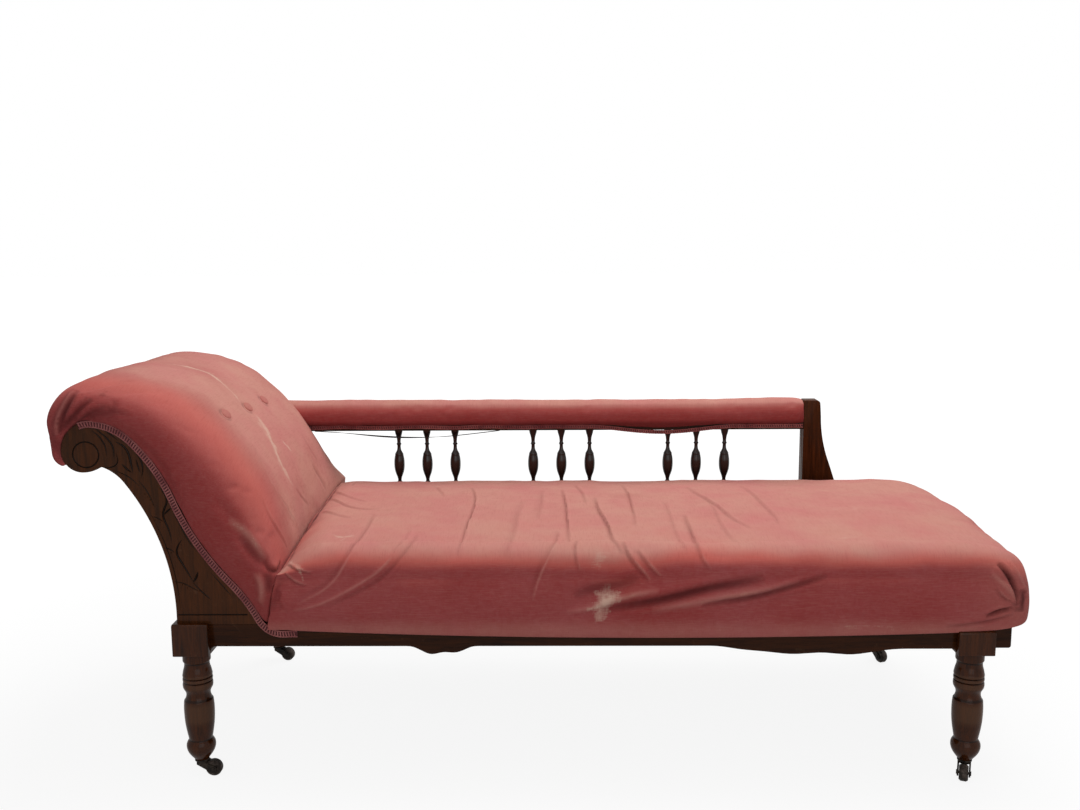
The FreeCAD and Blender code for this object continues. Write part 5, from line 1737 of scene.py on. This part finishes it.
class CouchArmPad(bpy.types.Operator):
    """The arm's stuffed roll"""

    bl_idname = "couch.arm_pad"
    bl_label = "Arm padding"

    def execute(self, context):
        rings, loose = self.roll(*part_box("arm_pad"))
        pad = closed_sleeve("velvet_arm_pad", rings)
        along = np.repeat(np.arange(len(rings)), len(rings[0])) / (len(rings) - 1)
        held = soft_step(0.0, 0.02, along) * soft_step(1.0, 0.96, along)
        stuffed(pad, np.tile(loose, len(rings)) * held, 2.0, 0.001, 1.5 * MM)
        add_modifier(pad, "SUBSURF", levels=1, render_levels=1)
        cover = Cover(pad)
        self.fold_and_wear(cover)
        _, y, z = cover.points.T
        on_rail = (z < arm_rail_top + 2 * MM) & (np.abs(y - arm_y) < 21 * MM)
        cover.settle(np.where(on_rail, 0.0, 1.0))
        smooth_by_angle(pad, cloth_edge)
        dress(pad, velvet("velvet_arm"), replaces=["arm_pad"])
        return {"FINISHED"}

    def roll(self, low, high):
        """Rings of the roll, rounded off at its foot end, and how loose each point of a ring is."""
        outline = arm_outline(0.0)
        wraps = len(outline) - rail_points
        centre = np.array([arm_y, (arm_rail_top + high.z) / 2])
        rounded = 26 * MM
        stations = np.concatenate([np.linspace(low.x, high.x - rounded, 128),
                                   high.x - np.array([20, 14, 9, 5, 2, 0]) * MM])
        rings = []
        for x in stations:
            t = max(0.0, (x - (high.x - rounded)) / rounded)
            ring = outline.copy()
            ring[:wraps] = centre + (ring[:wraps] - centre) * (1 - 0.20 * t ** 2.4)
            ring[:wraps, 1] = np.maximum(ring[:wraps, 1], low.z)
            slack = arm_slack(x, low.x, high.x)
            ring[:7, 1] -= slack * 0.62 * np.array([1, 1, 0.8, 0.6, 0.4, 0.2, 0.1])
            rings.append(np.insert(ring, 0, x, axis=1))
        loose = np.concatenate([[0, 0.4], np.ones(wraps - 4), [0.4, 0], np.zeros(rail_points)])
        return rings, loose

    def fold_and_wear(self, cover):
        """Pales the roll's top, partly sun fading and partly painted light, paints a band of red light round
        its sides and shade along its lower edges and underside, and lays worn streaks.
        """
        normals = cover.normals
        up = normals[:, 2]
        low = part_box("arm_pad")[0].z
        # Paler on top: partly sun fading, partly painted light.
        cover.layers["faded"] = soft_step(0.30, 0.85, up) * 0.95
        # A painted band of brighter red light round the roll's sides.
        cover.layers["rubbed"] = np.exp(-((up - 0.4) / 0.35) ** 2) * 0.35
        # Painted shade along the roll's lower edges and underside.
        bottom = soft_step(low + 14 * MM, low + 2 * MM, cover.points[:, 2])
        cover.layers["grime"] = 0.5 * bottom + 0.14 * soft_step(0.35, -0.1, up)
        cover.unevenness(7.0, 2.6 * MM, soft_step(0.0, 0.4, up), 6.0)
        cover.unevenness(30.0, 1.4 * MM, soft_step(0.0, 0.3, 1 - np.abs(normals[:, 0])), 7.0)
        cover.wear([], arm_stains)


class CouchBraid(bpy.types.Operator):
    """Braid along the scroll side and along the arm"""

    bl_idname = "couch.braid"
    bl_label = "Braid"

    def execute(self, context):
        cloth = braid_cloth("braid")
        self.head_braid(cloth)
        self.arm_braids(cloth)
        return {"FINISHED"}

    def head_braid(self, cloth):
        """Down the padded edge of the front scroll side, round the corner and along the rail."""
        lead, _ = arc_points(volute_top, border_angle + 180, volute_left, volute_steps)
        line = np.vstack([lead[:12][::-1], chain(border_corners, border_angle, border_counts)[1:]])
        line = moved_aside(line, 3.4 * MM)
        tail = smooth_line([line[-8], line[-5], place(167, -11.5), place(182, -17), place(203, -17.5),
                            place(224, -17.5)], 40)
        line = np.vstack([line[:-8], tail])
        line = smooth_line(line[::4], 260)
        points = at_depth(line, -frame_face - 1.3 * MM)
        piece = self.braid("braid_scroll", points, np.array([0, -1, 0]), 12.0 * MM)
        dress(piece, cloth, replaces=["head_gimp"])

    def arm_braids(self, cloth):
        """Along both lower edges of the arm's padding, slack in one stretch at the front."""
        low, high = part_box("arm_gimp_front")
        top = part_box("arm_gimp_back")[1].z
        x0, x1 = low.x, high.x
        half = 4.1 * MM
        xs = np.linspace(x0, x1, 420)
        sag = arm_slack(xs, x0, x1)
        wave = 1.1 * MM * np.sin(xs * 38.0) * soft_step(0.0, 0.2, x1 - slack_shares[0] * (x1 - x0) - xs)
        front = np.stack([xs, np.full(len(xs), low.y + 1.2 * MM), top - half - sag + wave], axis=1)
        piece = self.braid("braid_arm_front", front, np.array([0, -1, 0]), 8.6 * MM)
        dress(piece, cloth, replaces=["arm_gimp_front"])
        back_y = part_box("arm_gimp_back")[1].y - 1.2 * MM
        back = np.stack([xs, np.full(len(xs), back_y), np.full(len(xs), top - half)], axis=1)
        piece = self.braid("braid_arm_back", back, np.array([0, 1, 0]), 8.6 * MM)
        dress(piece, cloth, replaces=["arm_gimp_back"])

    def braid(self, name, points, outward, width):
        """A flat band with a corded edge each side and a row of loops across it."""
        way = directions(points)
        across = np.cross(way, outward)
        across /= np.linalg.norm(across, axis=1)[:, None]
        length = lengths(points)
        half = width / 2
        # The band's section: shares of its half width, and millimetres off the wood
        section = [(-0.9, -0.9), (-0.9, 0.3), (0.0, 0.5), (0.9, 0.3), (0.9, -0.9)]
        band = np.vstack([[p + c * half * s + outward * h * MM for s, h in section]
                          for p, c in zip(points, across)])
        parts = [(band, capped_faces(len(points), 5))]
        raised = [np.zeros(len(band))]
        pitch = sizes().braid_pitch
        for side in (-1, 1):
            beat = 1 + 0.22 * np.sin(2 * math.pi * length / pitch)
            edge = points + across * side * (half - 1.0 * MM) + outward * 0.45 * MM
            verts, faces = tube(edge, 1.15 * MM * beat, 6)
            parts.append((verts, faces))
            raised.append(np.full(len(verts), 0.85))
        count = int(length[-1] / pitch)
        share = np.linspace(-1, 1, 5)
        for i in range(count):
            at = (i + 0.5) * pitch
            p, c, w = (taken_at(at, length, line) for line in (points, across, way))
            rung = [p + c * s * (half - 1.2 * MM) + w * 0.9 * MM * s
                    + outward * (0.9 - 0.35 * s * s) * MM for s in share]
            verts, faces = tube(rung, np.array([0.8, 1.15, 1.25, 1.15, 0.8]) * MM, 6)
            parts.append((verts, faces))
            raised.append(np.full(len(verts), 1.0))
        verts, faces = gathered(parts)
        obj = new_object(name, verts, faces)
        set_attribute(obj, "raised", np.concatenate(raised))
        in_edit_mode(obj, lambda: bpy.ops.mesh.normals_make_consistent(inside=False))
        smooth_by_angle(obj, 70)
        return obj


class CouchLinings(bpy.types.Operator):
    """The lining under the seat and its loosened strip under the arm"""

    bl_idname = "couch.linings"
    bl_label = "Linings"

    def execute(self, context):
        cloth = plain_cloth("black_lining", (0.012, 0.011, 0.012), (0.035, 0.032, 0.033), 1400.0, 0.4)
        self.strip(cloth)
        self.bottom(cloth)
        return {"FINISHED"}

    def strip(self, cloth):
        """A strip of lining that has come loose and hangs in a shallow bow."""
        low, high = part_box("arm_lining_strip")
        hung = [(62, 545.0), (118, 539.5), (190, 534.5), (250, 534.0), (310, 537.0), (368, 543.0)]
        bow = [(low.x + x * MM, z * MM) for x, z in hung]
        tacked = high.z - 0.7 * MM
        line = smooth_line([(low.x, tacked)] + bow + [(high.x, tacked)], 90)
        width, thick = 10.6 * MM, 0.9 * MM
        middle = (low.y + high.y) / 2
        rings = []
        for i, (x, z) in enumerate(line):
            share = i / (len(line) - 1)
            twist = math.radians(22 * math.sin(math.pi * min(1.0, share * 1.25)) ** 2 + 4)
            across = np.array([0, math.cos(twist), -math.sin(twist)])
            up = np.array([0, math.sin(twist), math.cos(twist)])
            p = np.array([x, middle, z])
            ring = [p + across * width * s + up * thick / 2 for s in (-0.5, -0.17, 0.17, 0.5)]
            ring += [p + across * width * s - up * thick / 2 for s in (0.5, 0.17, -0.17, -0.5)]
            rings.append(np.array(ring))
        piece = closed_sleeve("lining_strip", rings)
        smooth_by_angle(piece, 50)
        dress(piece, cloth, replaces=["arm_lining_strip"])

    def bottom(self, cloth):
        """Lining tacked under the rails, sagging a little between them."""
        low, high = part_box("bottom_lining")
        columns, rows = 70, 34
        xs = np.linspace(low.x, high.x, columns)
        ys = np.linspace(low.y, high.y, rows)
        verts = []
        for x, u in zip(xs, np.linspace(0, 1, columns)):
            for y, v in zip(ys, np.linspace(0, 1, rows)):
                sag = 5 * MM * (math.sin(math.pi * u) * math.sin(math.pi * v)) ** 0.5
                ripple = 0.8 * MM * noise.noise(Vector((x * 9, y * 14, 3.0))) * math.sin(math.pi * v)
                verts.append((x, y, high.z - 0.6 * MM - sag + ripple))
        legs = [middle_of("leg_" + corner) for corner in corners]
        room_x, room_y = 43 * MM, 40 * MM  # from a leg's axis to the lining's cut corner
        faces = []
        for i in range(columns - 1):
            for j in range(rows - 1):
                x, y = (xs[i] + xs[i + 1]) / 2, (ys[j] + ys[j + 1]) / 2
                if not any(abs(x - p.x) < room_x and abs(y - p.y) < room_y for p in legs):
                    here = i * rows + j
                    faces.append((here, here + rows, here + rows + 1, here + 1))
        piece = new_object("lining_bottom", verts, faces)
        with reworked(piece.data) as work:
            loose = [v for v in work.verts if not v.link_faces]
            bmesh.ops.delete(work, geom=loose, context="VERTS")
        add_modifier(piece, "SOLIDIFY", thickness=0.7 * MM, offset=1.0)
        smooth_by_angle(piece, 50)
        dress(piece, cloth, replaces=["bottom_lining"])


class CouchPanel(bpy.types.Panel):
    """Lists the couch's pieces and finishes."""

    bl_idname = "VIEW3D_PT_couch"
    bl_label = "Couch"
    bl_space_type = "VIEW_3D"
    bl_region_type = "UI"
    bl_category = "Couch"

    def draw(self, context):
        for operator in operators:
            self.layout.operator(operator.bl_idname)
        for group in (context.scene.couch_sizes, context.scene.couch_look):
            for name in type(group).__annotations__:
                self.layout.prop(group, name)


operators = (CouchStage, CouchFrameWood, CouchScrollSides, CouchTurnedLegs, CouchSpindles, CouchCastors,
             CouchHeadPad, CouchSeatPad, CouchArmPad, CouchBraid, CouchLinings)
classes = (CouchLook, CouchSizes) + operators + (CouchPanel,)


def register():
    for each in classes:
        bpy.utils.register_class(each)
    bpy.types.Scene.couch_look = PointerProperty(type=CouchLook)
    bpy.types.Scene.couch_sizes = PointerProperty(type=CouchSizes)


def unregister():
    del bpy.types.Scene.couch_sizes
    del bpy.types.Scene.couch_look
    for each in reversed(classes):
        bpy.utils.unregister_class(each)


def main():
    register()
    bpy.ops.couch.stage()
    bpy.ops.couch.frame_wood()
    bpy.ops.couch.scroll_sides()
    bpy.ops.couch.turned_legs()
    bpy.ops.couch.spindles()
    bpy.ops.couch.castors()
    bpy.ops.couch.head_pad()
    bpy.ops.couch.seat_pad()
    bpy.ops.couch.arm_pad()
    bpy.ops.couch.braid()
    bpy.ops.couch.linings()


if __name__ == "__main__":
    main()
